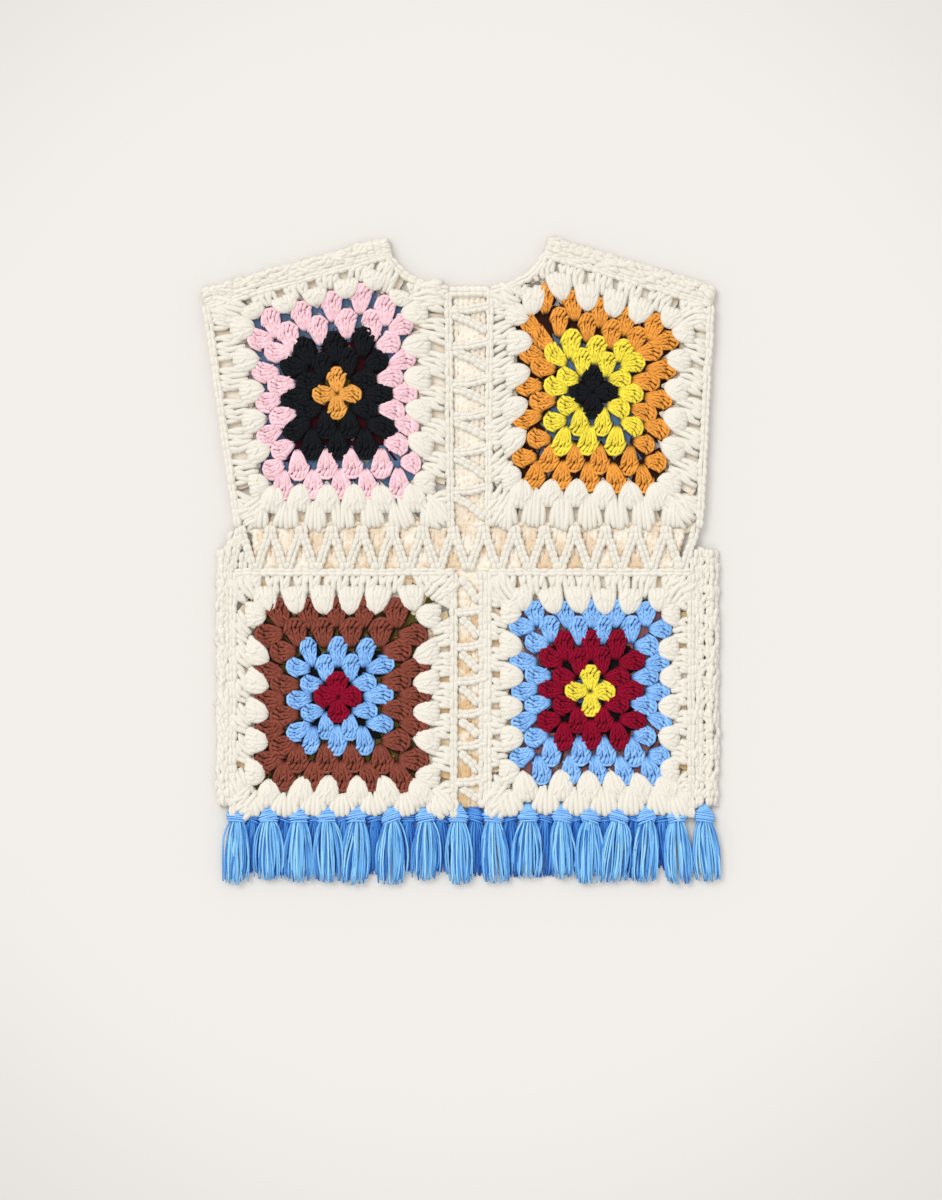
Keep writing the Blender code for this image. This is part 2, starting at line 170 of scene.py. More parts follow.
def ring(square, reach):
    rings = KEY_RINGS[square]
    keys = sorted(rings)
    for inner, outer in zip(keys, keys[1:]):
        if reach <= outer:
            break
    share = (reach - inner) / (outer - inner)
    has_shoulder = rings[outer][4] is not None
    corners = [lerp(rings[inner][k], rings[outer][k], share) for k in range(4)]
    shoulder = lerp(rings[inner][4], rings[outer][4], share) if has_shoulder else None
    return corners, shoulder


def neck_curve(shoulder, corner, t):
    across, down = NECK_PULL
    pull = (shoulder[0] + across * (corner[0] - shoulder[0]),
            corner[1] + down * (shoulder[1] - corner[1]))
    return lerp(lerp(shoulder, pull, t), lerp(pull, corner, t), t)


def ring_point(square, side, t, reach):
    corners, shoulder = ring(square, reach)
    start, end = corners[side], corners[(side + 1) % 4]
    if side or shoulder is None:
        return np.array(lerp(start, end, t))
    split = (shoulder[0] - start[0]) / (end[0] - start[0])
    if NECK_SIDE[square] == "right":
        if t <= split:
            return np.array(lerp(start, shoulder, t / split))
        return np.array(neck_curve(shoulder, end, (t - split) / (1 - split)))
    if t >= split:
        return np.array(lerp(shoulder, end, (t - split) / (1 - split)))
    return np.array(neck_curve(shoulder, start, 1 - t / split))


def side_length(square, side, reach):
    return distances([ring_point(square, side, t, reach) for t in np.linspace(0, 1, 9)])[-1]


# ---------------------------------------------------------------- meshes of yarn

# From the garment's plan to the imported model, by a corner that stands in both
CORNER = KEY_RINGS["lower_right"][ROUNDS][1]
PACKED_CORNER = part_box("front_square_lower_right")[1]
SHIFT = np.array([PACKED_CORNER.x / MM - CORNER[0], PACKED_CORNER.y / MM - CORNER[1], 0.0])
FLOOR_CLEARANCE = 0.15
THINNEST = 0.15


def to_world(points):
    points = points + SHIFT
    points[..., 2] = np.maximum(points[..., 2], FLOOR_CLEARANCE)
    return points * MM


def spline_matrix(controls, points):
    """Weights that turn control points into points on a Catmull-Rom curve through them."""
    matrix = np.zeros((points, controls))
    for row, t in enumerate(np.linspace(0, controls - 1, points)):
        k = min(int(t), controls - 2)
        f = t - k
        weights = (-0.5 * f + f * f - 0.5 * f ** 3, 1 - 2.5 * f * f + 1.5 * f ** 3,
                   0.5 * f + 2 * f * f - 1.5 * f ** 3, -0.5 * f * f + 0.5 * f ** 3)
        for offset, weight in zip((-1, 0, 1, 2), weights):
            matrix[row, min(max(k + offset, 0), controls - 1)] += weight
    return matrix


def tubes(controls, radii, points, sides):
    """Closed tubes along many strands at once: (vertices, corners of its faces, UVs)."""
    matrix = spline_matrix(controls.shape[1], points)
    line = np.einsum("pc,scd->spd", matrix, controls)
    radius = np.clip(np.einsum("pc,sc->sp", matrix, radii), THINNEST, None)
    along = unit(np.gradient(line, axis=1))
    across = np.cross(along, np.array([0.0, 0.0, 1.0]))
    size = np.linalg.norm(across, axis=2, keepdims=True)
    across = np.where(size > 0.05, across / (size + 1e-9), np.array([1.0, 0.0, 0.0]))
    up = np.cross(across, along)
    angles = 2 * np.pi * np.arange(sides) / sides
    rim = (across[:, :, None] * np.cos(angles)[None, None, :, None]
           + up[:, :, None] * np.sin(angles)[None, None, :, None])
    verts = line[:, :, None] + rim * radius[:, :, None, None]

    strands = len(line)
    base = (np.arange(strands) * points * sides)[:, None, None]
    row = (np.arange(points - 1) * sides)[None, :, None]
    k = np.arange(sides)[None, None, :]
    k1 = (k + 1) % sides
    quads = np.stack([base + row + k, base + row + sides + k,
                      base + row + sides + k1, base + row + k1], axis=-1).reshape(-1, 4)
    number = np.arange(strands)[:, None, None]      # each strand has its own whole number of U
    length = distances(line)[..., None]
    u0, u1, v0, v1 = np.broadcast_arrays(number + (k + 0.01) / sides, number + (k + 0.99) / sides,
                                         length[:, :-1], length[:, 1:])
    quad_uv = np.stack([u0, v0, u0, v1, u1, v1, u1, v0], axis=-1).reshape(-1, 4, 2)
    ends = np.arange(sides)[None, :]
    first = base[:, :, 0] + ends
    last = base[:, :, 0] + (points - 1) * sides + ends[:, ::-1]
    caps = np.concatenate([first, last])
    cap_uv = np.zeros((len(caps), sides, 2))
    return verts.reshape(-1, 3), quads, quad_uv, caps, cap_uv


class Yarn:
    """Strands of one piece, kept in batches until its mesh is made."""

    def __init__(self):
        self.batches = []

    def add(self, controls, radii, points, sides, place=None, material=0):
        controls = np.asarray(controls, float)
        radii = np.broadcast_to(np.asarray(radii, float), controls.shape[:2])
        if place is not None:
            controls = place(controls)
        self.batches.append((*tubes(controls, radii, points, sides), material))

    def mesh(self, name):
        verts, loops, uvs, starts, index, offset, place = [], [], [], [], [], 0, 0
        for points, quads, quad_uv, caps, cap_uv, material in self.batches:
            verts.append(points)
            index.append(np.full(len(quads) + len(caps), material))
            for faces, uv in ((quads, quad_uv), (caps, cap_uv)):
                loops.append((faces + offset).ravel())
                uvs.append(uv.reshape(-1, 2))
                starts.append(place + np.arange(len(faces)) * faces.shape[1])
                place += faces.size
            offset += len(points)
        return raw_mesh(name, np.concatenate(verts), np.concatenate(loops),
                        np.concatenate(starts), np.concatenate(uvs), np.concatenate(index))


def raw_mesh(name, verts, loops, starts, uvs, materials):
    mesh = bpy.data.meshes.new(name)
    mesh.vertices.add(len(verts))
    mesh.vertices.foreach_set("co", to_world(verts).astype(np.float32).ravel())
    mesh.loops.add(len(loops))
    mesh.loops.foreach_set("vertex_index", loops.astype(np.int32))
    mesh.polygons.add(len(starts))
    mesh.polygons.foreach_set("loop_start", starts.astype(np.int32))
    mesh.polygons.foreach_set("use_smooth", np.ones(len(starts), bool))
    mesh.polygons.foreach_set("material_index", materials.astype(np.int32))
    layer = mesh.uv_layers.new(name="yarn")
    layer.data.foreach_set("uv", uvs.astype(np.float32).ravel())
    mesh.update(calc_edges=True)
    return mesh


# ---------------------------------------------------------------- materials

YARNS = {
    "cream": (0.742, 0.711, 0.640),
    "cream_back": (0.80, 0.765, 0.69),
    "pink": (1.0, 0.65, 0.72),
    "black": (0.0075, 0.009, 0.012),
    "mustard": (0.88, 0.41, 0.088),
    "orange": (0.88, 0.365, 0.062),
    "yellow": (1.0, 0.80, 0.062),
    "brown": (0.26, 0.068, 0.044),
    "light_blue": (0.29, 0.56, 1.0),
    "crimson": (0.285, 0.002, 0.025),
    "mauve": (0.30, 0.12, 0.12),
    "tassel_blue": (0.40, 0.74, 1.0),
    "knot_blue": (0.29, 0.58, 1.0),
}
PATCH_SCALE, FIBRE_SCALE = 60.0, 1500.0
STREAK_SCALE = (7.0, 0.3)       # from strand to strand and along one
PLIES = 3
PLY_TURN = 0.05         # turns of the plies in a millimetre of yarn
PLY_PAINTED_LIGHT = 1.04        # painted light: how light the plies' crests are
PLY_SHADE = {"cream": 0.95, "cream_back": 0.95}     # and painted shade: how dark the furrows between them are
# Painted shade in the furrows of the other yarns
COLOUR_PLY_SHADE = 0.78
GROUND_TONES = (0.8, 1.25)
# Painted shade: the ground below the strands is each yarn's colour darkened by these shares
GROUND_PAINTED_SHADE = {"cream": 0.75, "cream_back": 0.75, "black": 0.6, "light_blue": 0.26,
                "mauve": 0.9, "yellow": 0.08}
COLOUR_GROUND_PAINTED_SHADE = 0.12      # painted shade: the rest are far darker between their strands
# Cream yarn on the inner side of the back, warm in the top's shade: below and above the waist
INSIDE = ((0.70, 0.50, 0.28), (0.84, 0.76, 0.66))
INSIDE_GROUND = ((0.76, 0.54, 0.28), (0.82, 0.71, 0.58))
INSIDE_PALE = (0.90, 0.84, 0.74)
INSIDE_HEIGHTS = (-0.06, 0.10)      # y in metres where the lower shade ends and the upper starts
INSIDE_PATCHES = (0.44, 0.62)       # noise that is plain and that is pale
FACING = (-0.3, 0.1)            # how far up a face looks, from the underside to the top
# Shade of the deepest strands, and the heights from it to full light, in millimetres
DEPTH_SHADE = {"cream": (0.94, 4.4, 8.4), "tassel_blue": (0.24, 1.5, 7.4),
               "knot_blue": (0.24, 1.5, 7.4), "pink": (0.10, 3.2, 7.2)}
COLOUR_DEPTH_PAINTED_SHADE = (0.08, 3.4, 8.4)
DEPTH_POWER = 1.8
# How far up a strand's sides and its top look, and the painted shade of its sides
FLANK_FACING = (0.15, 0.85)
FLANK_SHADE = {"cream": 1.0, "tassel_blue": 0.75, "knot_blue": 0.70, "pink": 0.95,
               "light_blue": 0.58, "yellow": 0.44, "orange": 0.38, "mustard": 0.36}
COLOUR_FLANK_PAINTED_SHADE = 0.30
# Spread of the strands' tones
STRAND_SHADE = {"cream": 0.03, "tassel_blue": 0.72, "knot_blue": 0.16, "light_blue": 0.26}
COLOUR_STRAND = 0.20
# How strongly a shade tells on each channel: shaded blue yarn is a deeper blue, not a grey
SHADE_POWERS = {"tassel_blue": (2.0, 1.12, 0.42), "knot_blue": (1.9, 1.1, 0.42),
                "light_blue": (1.3, 1.0, 0.7)}
YARN_OF = {"front": "cream", "back": "cream_back"}
PALE = ("cream", "cream_back", "pink", "yellow", "light_blue", "tassel_blue")
PALE_GLOSS, GLOSS = (0.25, 0.2), (0.10, 0.05)       # specular level and sheen
ROUGH = (0.72, 0.95)
BUMP = (0.5, 0.0003)            # strength and distance


class Nodes:
    """A material and its nodes, each linked as its inputs say."""

    def __init__(self, name):
        self.material = bpy.data.materials.new(name)
        self.material.use_nodes = True
        self.tree = self.material.node_tree
        self.shader = self.tree.nodes["Principled BSDF"]

    def put(self, node, inputs):
        for key, value in inputs.items():
            if isinstance(value, bpy.types.NodeSocket):
                self.tree.links.new(value, node.inputs[key])
            else:
                node.inputs[key].default_value = value

    def add(self, kind, inputs=(), **settings):
        node = self.tree.nodes.new("ShaderNode" + kind)
        for name, value in settings.items():
            setattr(node, name, value)
        self.put(node, dict(inputs))
        return node.outputs

    def math(self, operation, *values, clamp=False):
        return self.add("Math", enumerate(values), operation=operation, use_clamp=clamp)[0]

    def ranged(self, value, low=0.0, high=1.0, to_low=0.0, to_high=1.0, kind="LINEAR"):
        return self.add("MapRange", enumerate((value, low, high, to_low, to_high)),
                        interpolation_type=kind)[0]

    def mix(self, amount, a, b):
        return self.add("Mix", {0: amount, 6: a, 7: b}, data_type="RGBA")[2]

    def noise(self, vector, scale, detail):
        return self.add("TexNoise", {"Vector": vector, "Scale": scale, "Detail": detail})[0]


def inside_colour(nodes, place_y, patch, ground):
    """Colour of the back's inner side: warm in the top's shade, paler in patches."""
    shades = INSIDE_GROUND if ground else INSIDE
    inside = nodes.mix(nodes.ranged(place_y, *INSIDE_HEIGHTS), *((*c, 1.0) for c in shades))
    return nodes.mix(nodes.ranged(patch, *INSIDE_PATCHES), inside, (*INSIDE_PALE, 1.0))


def yarn_material(name, colour, ground=False):
    """Soft plied yarn: shallow plies along it with painted shade in their furrows, fibres across
    them, and paler and darker patches. The ground below the strands is the same yarn, plain and in
    a darker painted shade."""
    nodes = Nodes("yarn_" + name + ("_ground" if ground else ""))
    place = nodes.add("TexCoord")["Object"]
    patch = nodes.noise(place, PATCH_SCALE, 4.0)
    fibre = nodes.noise(place, FIBRE_SCALE, 3.0)
    if ground:
        # Painted shade: the ground's colour is the yarn's own, darkened, in paler and darker
        # patches
        shade = GROUND_PAINTED_SHADE.get(name, COLOUR_GROUND_PAINTED_SHADE)
        dark, light = (tuple(c * shade * tone for c in colour) for tone in GROUND_TONES)
        amount, height = patch, fibre
    else:
        along, length, _ = nodes.add("SeparateXYZ", {0: nodes.add("UVMap", uv_map="yarn")[0]})
        turn = nodes.math("ADD", nodes.math("MULTIPLY", along, float(PLIES)),
                          nodes.math("MULTIPLY", length, PLIES * PLY_TURN))
        ply = nodes.math("ABSOLUTE", nodes.math("SINE", nodes.math("MULTIPLY", turn, math.pi)))
        light = tuple(min(1.0, c * PLY_PAINTED_LIGHT) for c in colour)
        dark = tuple(c * PLY_SHADE.get(name, COLOUR_PLY_SHADE) for c in colour)
        lines = nodes.add("CombineXYZ", {
            0: nodes.math("MULTIPLY", along, STREAK_SCALE[0]),
            1: nodes.math("MULTIPLY", length, STREAK_SCALE[1])})[0]
        streaks = nodes.math("ADD", patch, nodes.noise(lines, 1.0, 3.0))
        # Painted light on the plies' crests and painted shade in their furrows, mixed with the
        # streaks and patches of the yarn's own tone
        amount = nodes.math("ADD", nodes.math("MULTIPLY", nodes.math("POWER", ply, 0.5), 0.4),
                            nodes.math("MULTIPLY", streaks, 0.5), clamp=True)
        height = nodes.math("ADD", nodes.math("MULTIPLY", ply, 0.5),
                            nodes.math("MULTIPLY", fibre, 0.6))
    out = nodes.mix(amount, (*dark, 1.0), (*light, 1.0))
    _, place_y, place_z = nodes.add("SeparateXYZ", {0: place})
    normal = nodes.add("NewGeometry")["Normal"]
    upward = nodes.add("SeparateXYZ", {0: normal})[2]
    facing = nodes.ranged(upward, *FACING)
    if name == "cream_back":
        out = nodes.mix(facing, out, inside_colour(nodes, place_y, patch, ground))
    elif not ground:
        # Painted shade: strands lower in the cloth and each strand's sides are darker, as less
        # light reaches them; the strands' own tones also differ at random
        deep, low, high = DEPTH_SHADE.get(name, COLOUR_DEPTH_PAINTED_SHADE)
        lit = nodes.math("POWER", nodes.ranged(place_z, low * MM, high * MM), DEPTH_POWER)
        tone = nodes.add("TexWhiteNoise", {"W": nodes.math("FLOOR", along)},
                         noise_dimensions="1D")[0]
        spread = STRAND_SHADE.get(name, COLOUR_STRAND)
        shade = nodes.math("MULTIPLY", nodes.ranged(lit, to_low=deep),
                           nodes.ranged(tone, to_low=1.0 - spread))
        # Painted shade on each strand's sides
        flank_shade = nodes.ranged(nodes.math("ABSOLUTE", upward), *FLANK_FACING,
                             to_low=FLANK_SHADE.get(name, COLOUR_FLANK_PAINTED_SHADE))
        shade = nodes.math("MULTIPLY", nodes.ranged(facing, to_low=1.0, to_high=shade), flank_shade)
        shade_tint = nodes.add("CombineXYZ", {
            k: nodes.math("POWER", shade, power)
            for k, power in enumerate(SHADE_POWERS.get(name, (1.0, 1.0, 1.0)))})[0]
        out = nodes.add("VectorMath", {0: out, 1: shade_tint}, operation="MULTIPLY")[0]
    bump = nodes.add("Bump", {"Strength": BUMP[0], "Distance": BUMP[1], "Height": height})[0]
    specular, sheen = PALE_GLOSS if name in PALE else GLOSS
    nodes.put(nodes.shader, {
        "Base Color": out, "Roughness": nodes.ranged(fibre, to_low=ROUGH[0], to_high=ROUGH[1]),
        "Normal": bump, "Specular IOR Level": specular, "Sheen Weight": sheen,
        "Sheen Roughness": 0.5, "Sheen Tint": (*(0.5 + 0.5 * c for c in colour), 1.0)})
    return nodes.material


MATERIALS = {name: yarn_material(name, colour) for name, colour in YARNS.items()}
GROUNDS = {name: yarn_material(name, colour, ground=True) for name, colour in YARNS.items()}


# ---------------------------------------------------------------- pieces and webs

RIBBON_STEP, RIBBON_HALF, RIBBON_DEPTH = 5.0, 2.6, -1.0


def grid_mesh(name, patches, groups):
    """One mesh of many grids of points, each with the number of its material."""
    verts, faces, materials, base = [], [], [], 0
    for patch, group in zip(patches, groups):
        rows, columns = patch.shape[:2]
        a = base + (np.arange(rows - 1)[:, None] * columns + np.arange(columns - 1)).ravel()
        faces.append(np.stack([a, a + 1, a + columns + 1, a + columns], axis=1))
        materials.append(np.full(len(a), group))
        verts.append(patch.reshape(-1, 3))
        base += rows * columns
    faces = np.concatenate(faces)
    return raw_mesh(name, np.concatenate(verts), faces.ravel(), np.arange(len(faces)) * 4,
                    np.zeros((faces.size, 2)), np.concatenate(materials))


def ribbon(path):
    """A flat strip along a path of (x, y), as a grid of points."""
    path = np.asarray(path, float)
    at = distances(path)
    count = max(3, int(at[-1] / RIBBON_STEP))
    line = on_path(path, at, np.linspace(0, at[-1], count))
    aside = turned(unit(np.gradient(line, axis=0))) * RIBBON_HALF
    strip = np.stack([line - aside, line + aside], axis=1)
    return np.concatenate([strip, np.full((count, 2, 1), RIBBON_DEPTH)], axis=2)


def add_piece(name, mesh, colours, nodes, ground=False):
    for colour in colours:
        mesh.materials.append((GROUNDS if ground else MATERIALS)[colour])
    piece = bpy.data.objects.new(name, mesh)
    bpy.context.scene.collection.objects.link(piece)
    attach(piece, "root")
    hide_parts(*nodes)
    YARN_SLOT.get(colours[0], colours[0])
    return piece


# ---------------------------------------------------------------- clusters

PROFILE_V = (-0.1, 0.0, 0.08, 0.2, 0.36, 0.55, 0.75, 0.9, 1.0, 1.1)
PROFILES = {                # half width along a cluster, as a share of its widest
    "fan": (0.22, 0.36, 0.46, 0.60, 0.80, 0.97, 1.0, 0.92, 0.78, 0.6),
    "petal": (0.05, 0.24, 0.44, 0.70, 0.91, 1.0, 1.06, 1.17, 1.26, 1.28),
    "brick": (0.80, 0.84, 0.86, 0.90, 0.95, 1.0, 1.0, 1.0, 1.0, 1.0),
    "knoll": (0.78, 0.92, 1.02, 1.14, 1.24, 1.28, 1.24, 1.10, 0.92, 0.7),
    "cup": (0.84, 0.88, 0.92, 0.95, 0.99, 1.08, 1.18, 1.12, 0.94, 0.7),
}
STRAND_ROWS = 6           # control points along a strand
VARIANT_COUNT = 8         # of each shape
# Drop from its middle to its sides, in millimetres
DOME = {"fan": 2.6, "petal": 1.8, "brick": 1.2, "knoll": 1.6, "cup": 1.4}
SHAPES = (None, "fan", "fan", "fan", "fan", "fan", "petal", "brick")      # by round number
LOW_SIDE = 2              # where the squares end in rounded clusters
LOW_SHAPE = {"lower": "knoll", "upper": "cup"}
KNOLL_LIFT = {"knoll": 1.2, "cup": 0.5}             # how far they stand up
LOW_REACH = {"lower": {}, "upper": {6: 0.90, 7: 1.16}}      # and how far they reach, by round
REACH = {6: 0.89}         # the same on the other sides
# Share of a cluster's length by which its foot stands late, by square, round and side
LATE_FOOT = {("upper_left", 6, 0): 0.30, ("upper_left", 6, 3): 0.12, ("upper_right", 6, 1): 0.10}
BRICK_WIDTH = {"lower": (1.2, 1.22, 1.0, 1.22), "upper": (1.2, 1.2, 1.0, 1.22)}   # by side


def half_width(v, shape):
    return np.interp(v, PROFILE_V, PROFILES[shape])


# Half width of the clusters in rounds 1, 2 and 3, 4 and 5, 6 and 7
CLUSTER_HALF = {
    "upper_left": (10.6, 11.2, 11.4, 10.6),
    "upper_right": (10.6, 10.8, 10.6, 10.6),
    "lower_left": (11.8, 10.0, 12.6, 10.8),
    "lower_right": (10.6, 10.8, 10.8, 10.8),
}
FOOT_REACH = 1.66         # how many rounds inside its tip a cluster is worked
FEET = {2: 0.60, 7: 5.72}       # reach of the second round's feet, and of the last round's
TOPS = {6: 6.02, 7: 6.9}
CLUSTER_LENGTH = 28.0     # its longest, in millimetres
HEM_ENDS = (0.035, 0.965)       # shares of the hem that its clusters keep within
CORE_SPAN = (0.44, 0.56)
# Where the first and the last cluster of each side top out, as shares of the side, for rounds
# 3, 5 and 7 of each square: top, right, bottom and left side. Round 1 has CORE_SPAN.
SPANS = {
    ("upper_left", 3): ((0.19, 0.81), (0.19, 0.78), (0.26, 0.76), (0.19, 0.80)),
    ("upper_left", 5): ((0.13, 0.90), (0.11, 0.83), (0.15, 0.89), (0.15, 0.87)),
    ("upper_left", 7): ((0.08, 0.92), (0.04, 0.89), (0.08, 0.92), (0.11, 0.94)),
    ("upper_right", 3): ((0.27, 0.81), (0.14, 0.77), (0.28, 0.83), (0.28, 0.93)),
    ("upper_right", 5): ((0.14, 0.86), (0.10, 0.82), (0.10, 0.86), (0.17, 0.94)),
    ("upper_right", 7): ((0.08, 0.92), (0.08, 0.92), (0.12, 0.92), (0.08, 0.92)),
    ("lower_left", 3): ((0.19, 0.77), (0.21, 0.75), (0.25, 0.80), (0.16, 0.76)),
    ("lower_left", 5): ((0.12, 0.82), (0.19, 0.84), (0.14, 0.84), (0.13, 0.80)),
    ("lower_left", 7): ((0.07, 0.86), (0.10, 0.90), (0.09, 0.90), (0.17, 0.94)),
    ("lower_right", 3): ((0.23, 0.76), (0.24, 0.77), (0.23, 0.78), (0.23, 0.80)),
    ("lower_right", 5): ((0.15, 0.86), (0.15, 0.85), (0.09, 0.80), (0.13, 0.86)),
    ("lower_right", 7): ((0.07, 0.91), (0.11, 0.86), (0.04, 0.88), (0.13, 0.91)),
}
CLUSTER_SHARE = 0.43      # half width of a cluster, of its pitch
RADIUS_HALF = 10.5        # half width of a cluster whose strands have the radii below
TANGENT_SHARE = 0.4       # how far a cluster lies along its side and not across its own axis
# How far a cluster's foot, length, width and height stray
FOOT_STRAY, LENGTH_STRAY, WIDTH_STRAY, HEIGHT_STRAY = 0.5, 0.02, 0.03, 0.15
CORNER_INSET = 1.6        # from a corner to the feet of the clusters beside it
HOLE_RADIUS = 2.6         # of the hole in a corner, where they don't reach
FILLED_ROUND = 6          # worked with one more cluster in each corner
FILL_REACH = (5.45, 6.7)        # foot and top of that one, in rounds

# Strands that rise from a cluster's foot: v, w and radius along each
KNOLL_LINE = np.array([(-0.40, 0.6, 2.0), (-0.05, 1.5, 3.2), (0.35, 1.7, 3.7), (0.70, 1.3, 3.5),
                       (0.95, -0.2, 2.4)])
POST_LINE = {
    "fan": np.array([(-0.07, -1.6, 0.9), (0.06, 0.1, 1.4), (0.25, 1.0, 1.6), (0.47, 1.3, 1.7),
                     (0.72, 0.0, 1.4)]),
    "petal": np.array([(-0.06, -0.4, 0.9), (0.06, 1.0, 2.3), (0.26, 1.6, 3.5),
                       (0.54, 1.5, 3.8), (0.80, 1.2, 3.6), (1.05, 0.4, 3.0)]),
    "brick": np.array([(-0.25, 0.2, 2.2), (0.10, 1.2, 2.7), (0.40, 1.6, 2.8), (0.65, 1.4, 2.7),
                       (0.95, 0.6, 2.4)]),
    "knoll": KNOLL_LINE,
    "cup": KNOLL_LINE,
}
POST_SPLIT = 0.31         # how far apart the two strands of a fan's post lie
POSTS = (-0.64, 0.0, 0.64)
MIDDLES = {"fan": [post + side * POST_SPLIT / 2 for post in POSTS for side in (-1, 1)],
           "petal": np.linspace(-0.80, 0.80, 6), "brick": np.linspace(-0.78, 0.78, 4),
           "knoll": np.linspace(-0.78, 0.78, 5), "cup": np.linspace(-0.78, 0.78, 5)}
# How far its strands stray and slant, how much shorter the outer ones are, and their radii's spread
SWAY = {"fan": 0.012, "petal": 0.02, "brick": 0.05, "knoll": 0.03, "cup": 0.04}
SLANT = {"fan": 0.0, "petal": 0.09, "brick": 0.10, "knoll": 0.13, "cup": 0.16}
ARC = {"fan": 0.0, "petal": 0.0, "brick": 0.0, "knoll": 0.34, "cup": 0.24}
RADIUS_SPREAD = {"fan": 0.0, "petal": 0.06, "brick": 0.06, "knoll": 0.12, "cup": 0.12}
# A knob on a brick's top: u from its middle, v, w and radius along it
KNOB_PLACES = (-0.62, -0.02, 0.60)
KNOB = np.array([(-0.26, 0.20, 0.6, 1.2), (-0.17, 0.36, 2.3, 2.2), (0.02, 0.55, 2.9, 2.5),
                 (0.18, 0.72, 2.0, 2.2), (0.24, 0.90, 0.4, 1.2)])
# A wrap round each post: u from the post, v, w and radius along it
WRAP = np.array([(-0.26, 0.42, -0.2, 0.8), (-0.18, 0.46, 1.8, 1.4), (0.03, 0.545, 2.5, 1.6),
                 (0.22, 0.63, 1.6, 1.3), (0.28, 0.66, -0.2, 0.8)])
LOW_WRAP = np.array([(0.22, 0.16, -0.2, 0.8), (0.15, 0.20, 1.6, 1.4), (-0.02, 0.29, 2.2, 1.6),
                     (-0.17, 0.38, 1.5, 1.3), (-0.24, 0.42, -0.2, 0.8)])
PETAL_WRAP = np.array([(-0.34, 0.40, 2.2, 1.1), (-0.20, 0.50, 4.0, 1.6), (0.02, 0.60, 4.4, 1.8),
                       (0.22, 0.72, 4.0, 1.6), (0.34, 0.80, 2.2, 1.1)])
WRAP_SPREAD = ((WRAP, 0.93), (LOW_WRAP, 0.66))      # a fan's, and their places as shares of POSTS
PETAL_WRAP_SPREAD = 0.9
# How far each kind strays along u, v and w, and how the width of a knob varies
WRAP_STRAY, PETAL_WRAP_STRAY, CAP_STRAY = (0.03, 0.02), (0.06, 0.05), (0.02, 0.0, 0.25)
KNOB_STRAY, KNOB_WIDTHS = (0.05, 0.06, 0.3), (0.7, 1.2)
FRONT_ONLY = 3          # a fan's or petal's last wraps, left out where they can't be seen
# The slanting tops of its stitches, and the loop that runs over them
CAP_PLACES = (-0.74, -0.37, 0.0, 0.37, 0.74)
CAP = np.array([(-0.24, 0.65, -0.6, 1.0), (-0.16, 0.72, 1.5, 1.8), (0.02, 0.82, 2.1, 2.1),
                (0.15, 0.92, 1.0, 1.8), (0.20, 0.98, -1.0, 1.0)])
RIM = np.array([(-0.92, 0.66, -1.2, 0.9), (-0.74, 0.83, 0.5, 1.6), (-0.36, 0.95, 0.9, 1.8),
                (0.10, 1.0, 1.0, 1.9), (0.52, 0.93, 0.8, 1.8), (0.82, 0.78, 0.3, 1.5),
                (0.93, 0.62, -1.2, 0.9)])


def resampled(table, count):
    return np.stack([np.interp(np.linspace(0, 1, count), np.linspace(0, 1, len(table)), column)
                     for column in table.T], axis=1)


def moved(table, rng, u, stray, width=1.0):
    """A copy of a strand's table at u, strayed along u, v and w."""
    strand = table.copy()
    strand[:, 0] *= width
    strand[:, 0] += u
    for column, spread in enumerate(stray):
        if spread:
            strand[:, column] += rng.normal(0, spread)
    return strand


def cluster_strands(rng, shape):
    """One cluster in its own terms: u across in half widths, v from its foot to its top, w up
    and radius in millimetres, a row for each point along each strand."""
    v_line, w_line, radius_line = POST_LINE[shape].T
    strands = []
    for k, middle in enumerate(MIDDLES[shape]):
        v = v_line + rng.normal(0, SWAY[shape])
        v = v - ARC[shape] * middle ** 2 * np.clip((v - 0.3) / 0.65, 0, 1)
        u = middle * half_width(v, shape) + rng.normal(0, SWAY[shape], len(v))
        u = u + rng.normal(0, SLANT[shape]) * (v - 0.5)
        w = w_line + (0.2 if k % 2 else 0.0) + rng.normal(0, 0.1)
        radius = radius_line * (1 + rng.uniform(-1, 1) * RADIUS_SPREAD[shape])
        strands.append(np.stack([u, v, w, radius], axis=1))
    if shape == "fan":
        for place in CAP_PLACES:
            cap = moved(CAP, rng, place, CAP_STRAY)
            cap[:, 1] -= 0.22 * cap[:, 0] ** 2
            strands.append(cap)
        strands.append(RIM)
        strands.extend(moved(wrap, rng, spread * post, WRAP_STRAY)
                       for wrap, spread in WRAP_SPREAD for post in POSTS)
    elif shape == "petal":
        strands.extend(moved(PETAL_WRAP, rng, PETAL_WRAP_SPREAD * post, PETAL_WRAP_STRAY,
                             rng.choice((-1, 1))) for post in POSTS)
    elif shape == "brick":
        strands.extend(moved(KNOB, rng, place, KNOB_STRAY, rng.uniform(*KNOB_WIDTHS))
                       for place in KNOB_PLACES)
    strands = np.array([resampled(strand, STRAND_ROWS) for strand in strands])
    strands[..., 2] += rng.normal(0, 0.12, (len(strands), 1)) - DOME[shape] * strands[..., 0] ** 2
    return strands[..., :3], strands[..., 3]


VARIANTS = {shape: [cluster_strands(np.random.default_rng(SEED + k), shape)
                    for k in range(VARIANT_COUNT)] for shape in PROFILES}


def span(square, side, number):
    """First and last top of a side's clusters, as shares of the side."""
    if number % 2:
        return SPANS[square, number][side] if number > 1 else CORE_SPAN
    return lerp(span(square, side, number - 1), span(square, side, number + 1), 0.5)


def top_shares(square, side, number):
    """Where a side's clusters top out, as shares of the side. Along the hem the last round's
    stand between the front's tassels, and those below them at the tassels."""
    if square.startswith("lower") and side == LOW_SIDE and number in TOPS:
        corners, _ = ring(square, TOPS[number])
        right, left = corners[2][0], corners[3][0]
        xs = np.array([x for x in FRONT_TASSELS if (x < 0) == (left < 0)], float)
        xs = (xs[1:] + xs[:-1]) / 2 if number == ROUNDS else xs[1:-1]
        return np.clip((right - xs[::-1]) / (right - left), *HEM_ENDS)
    return np.linspace(*span(square, side, number), number) if number > 1 else np.array([0.5])


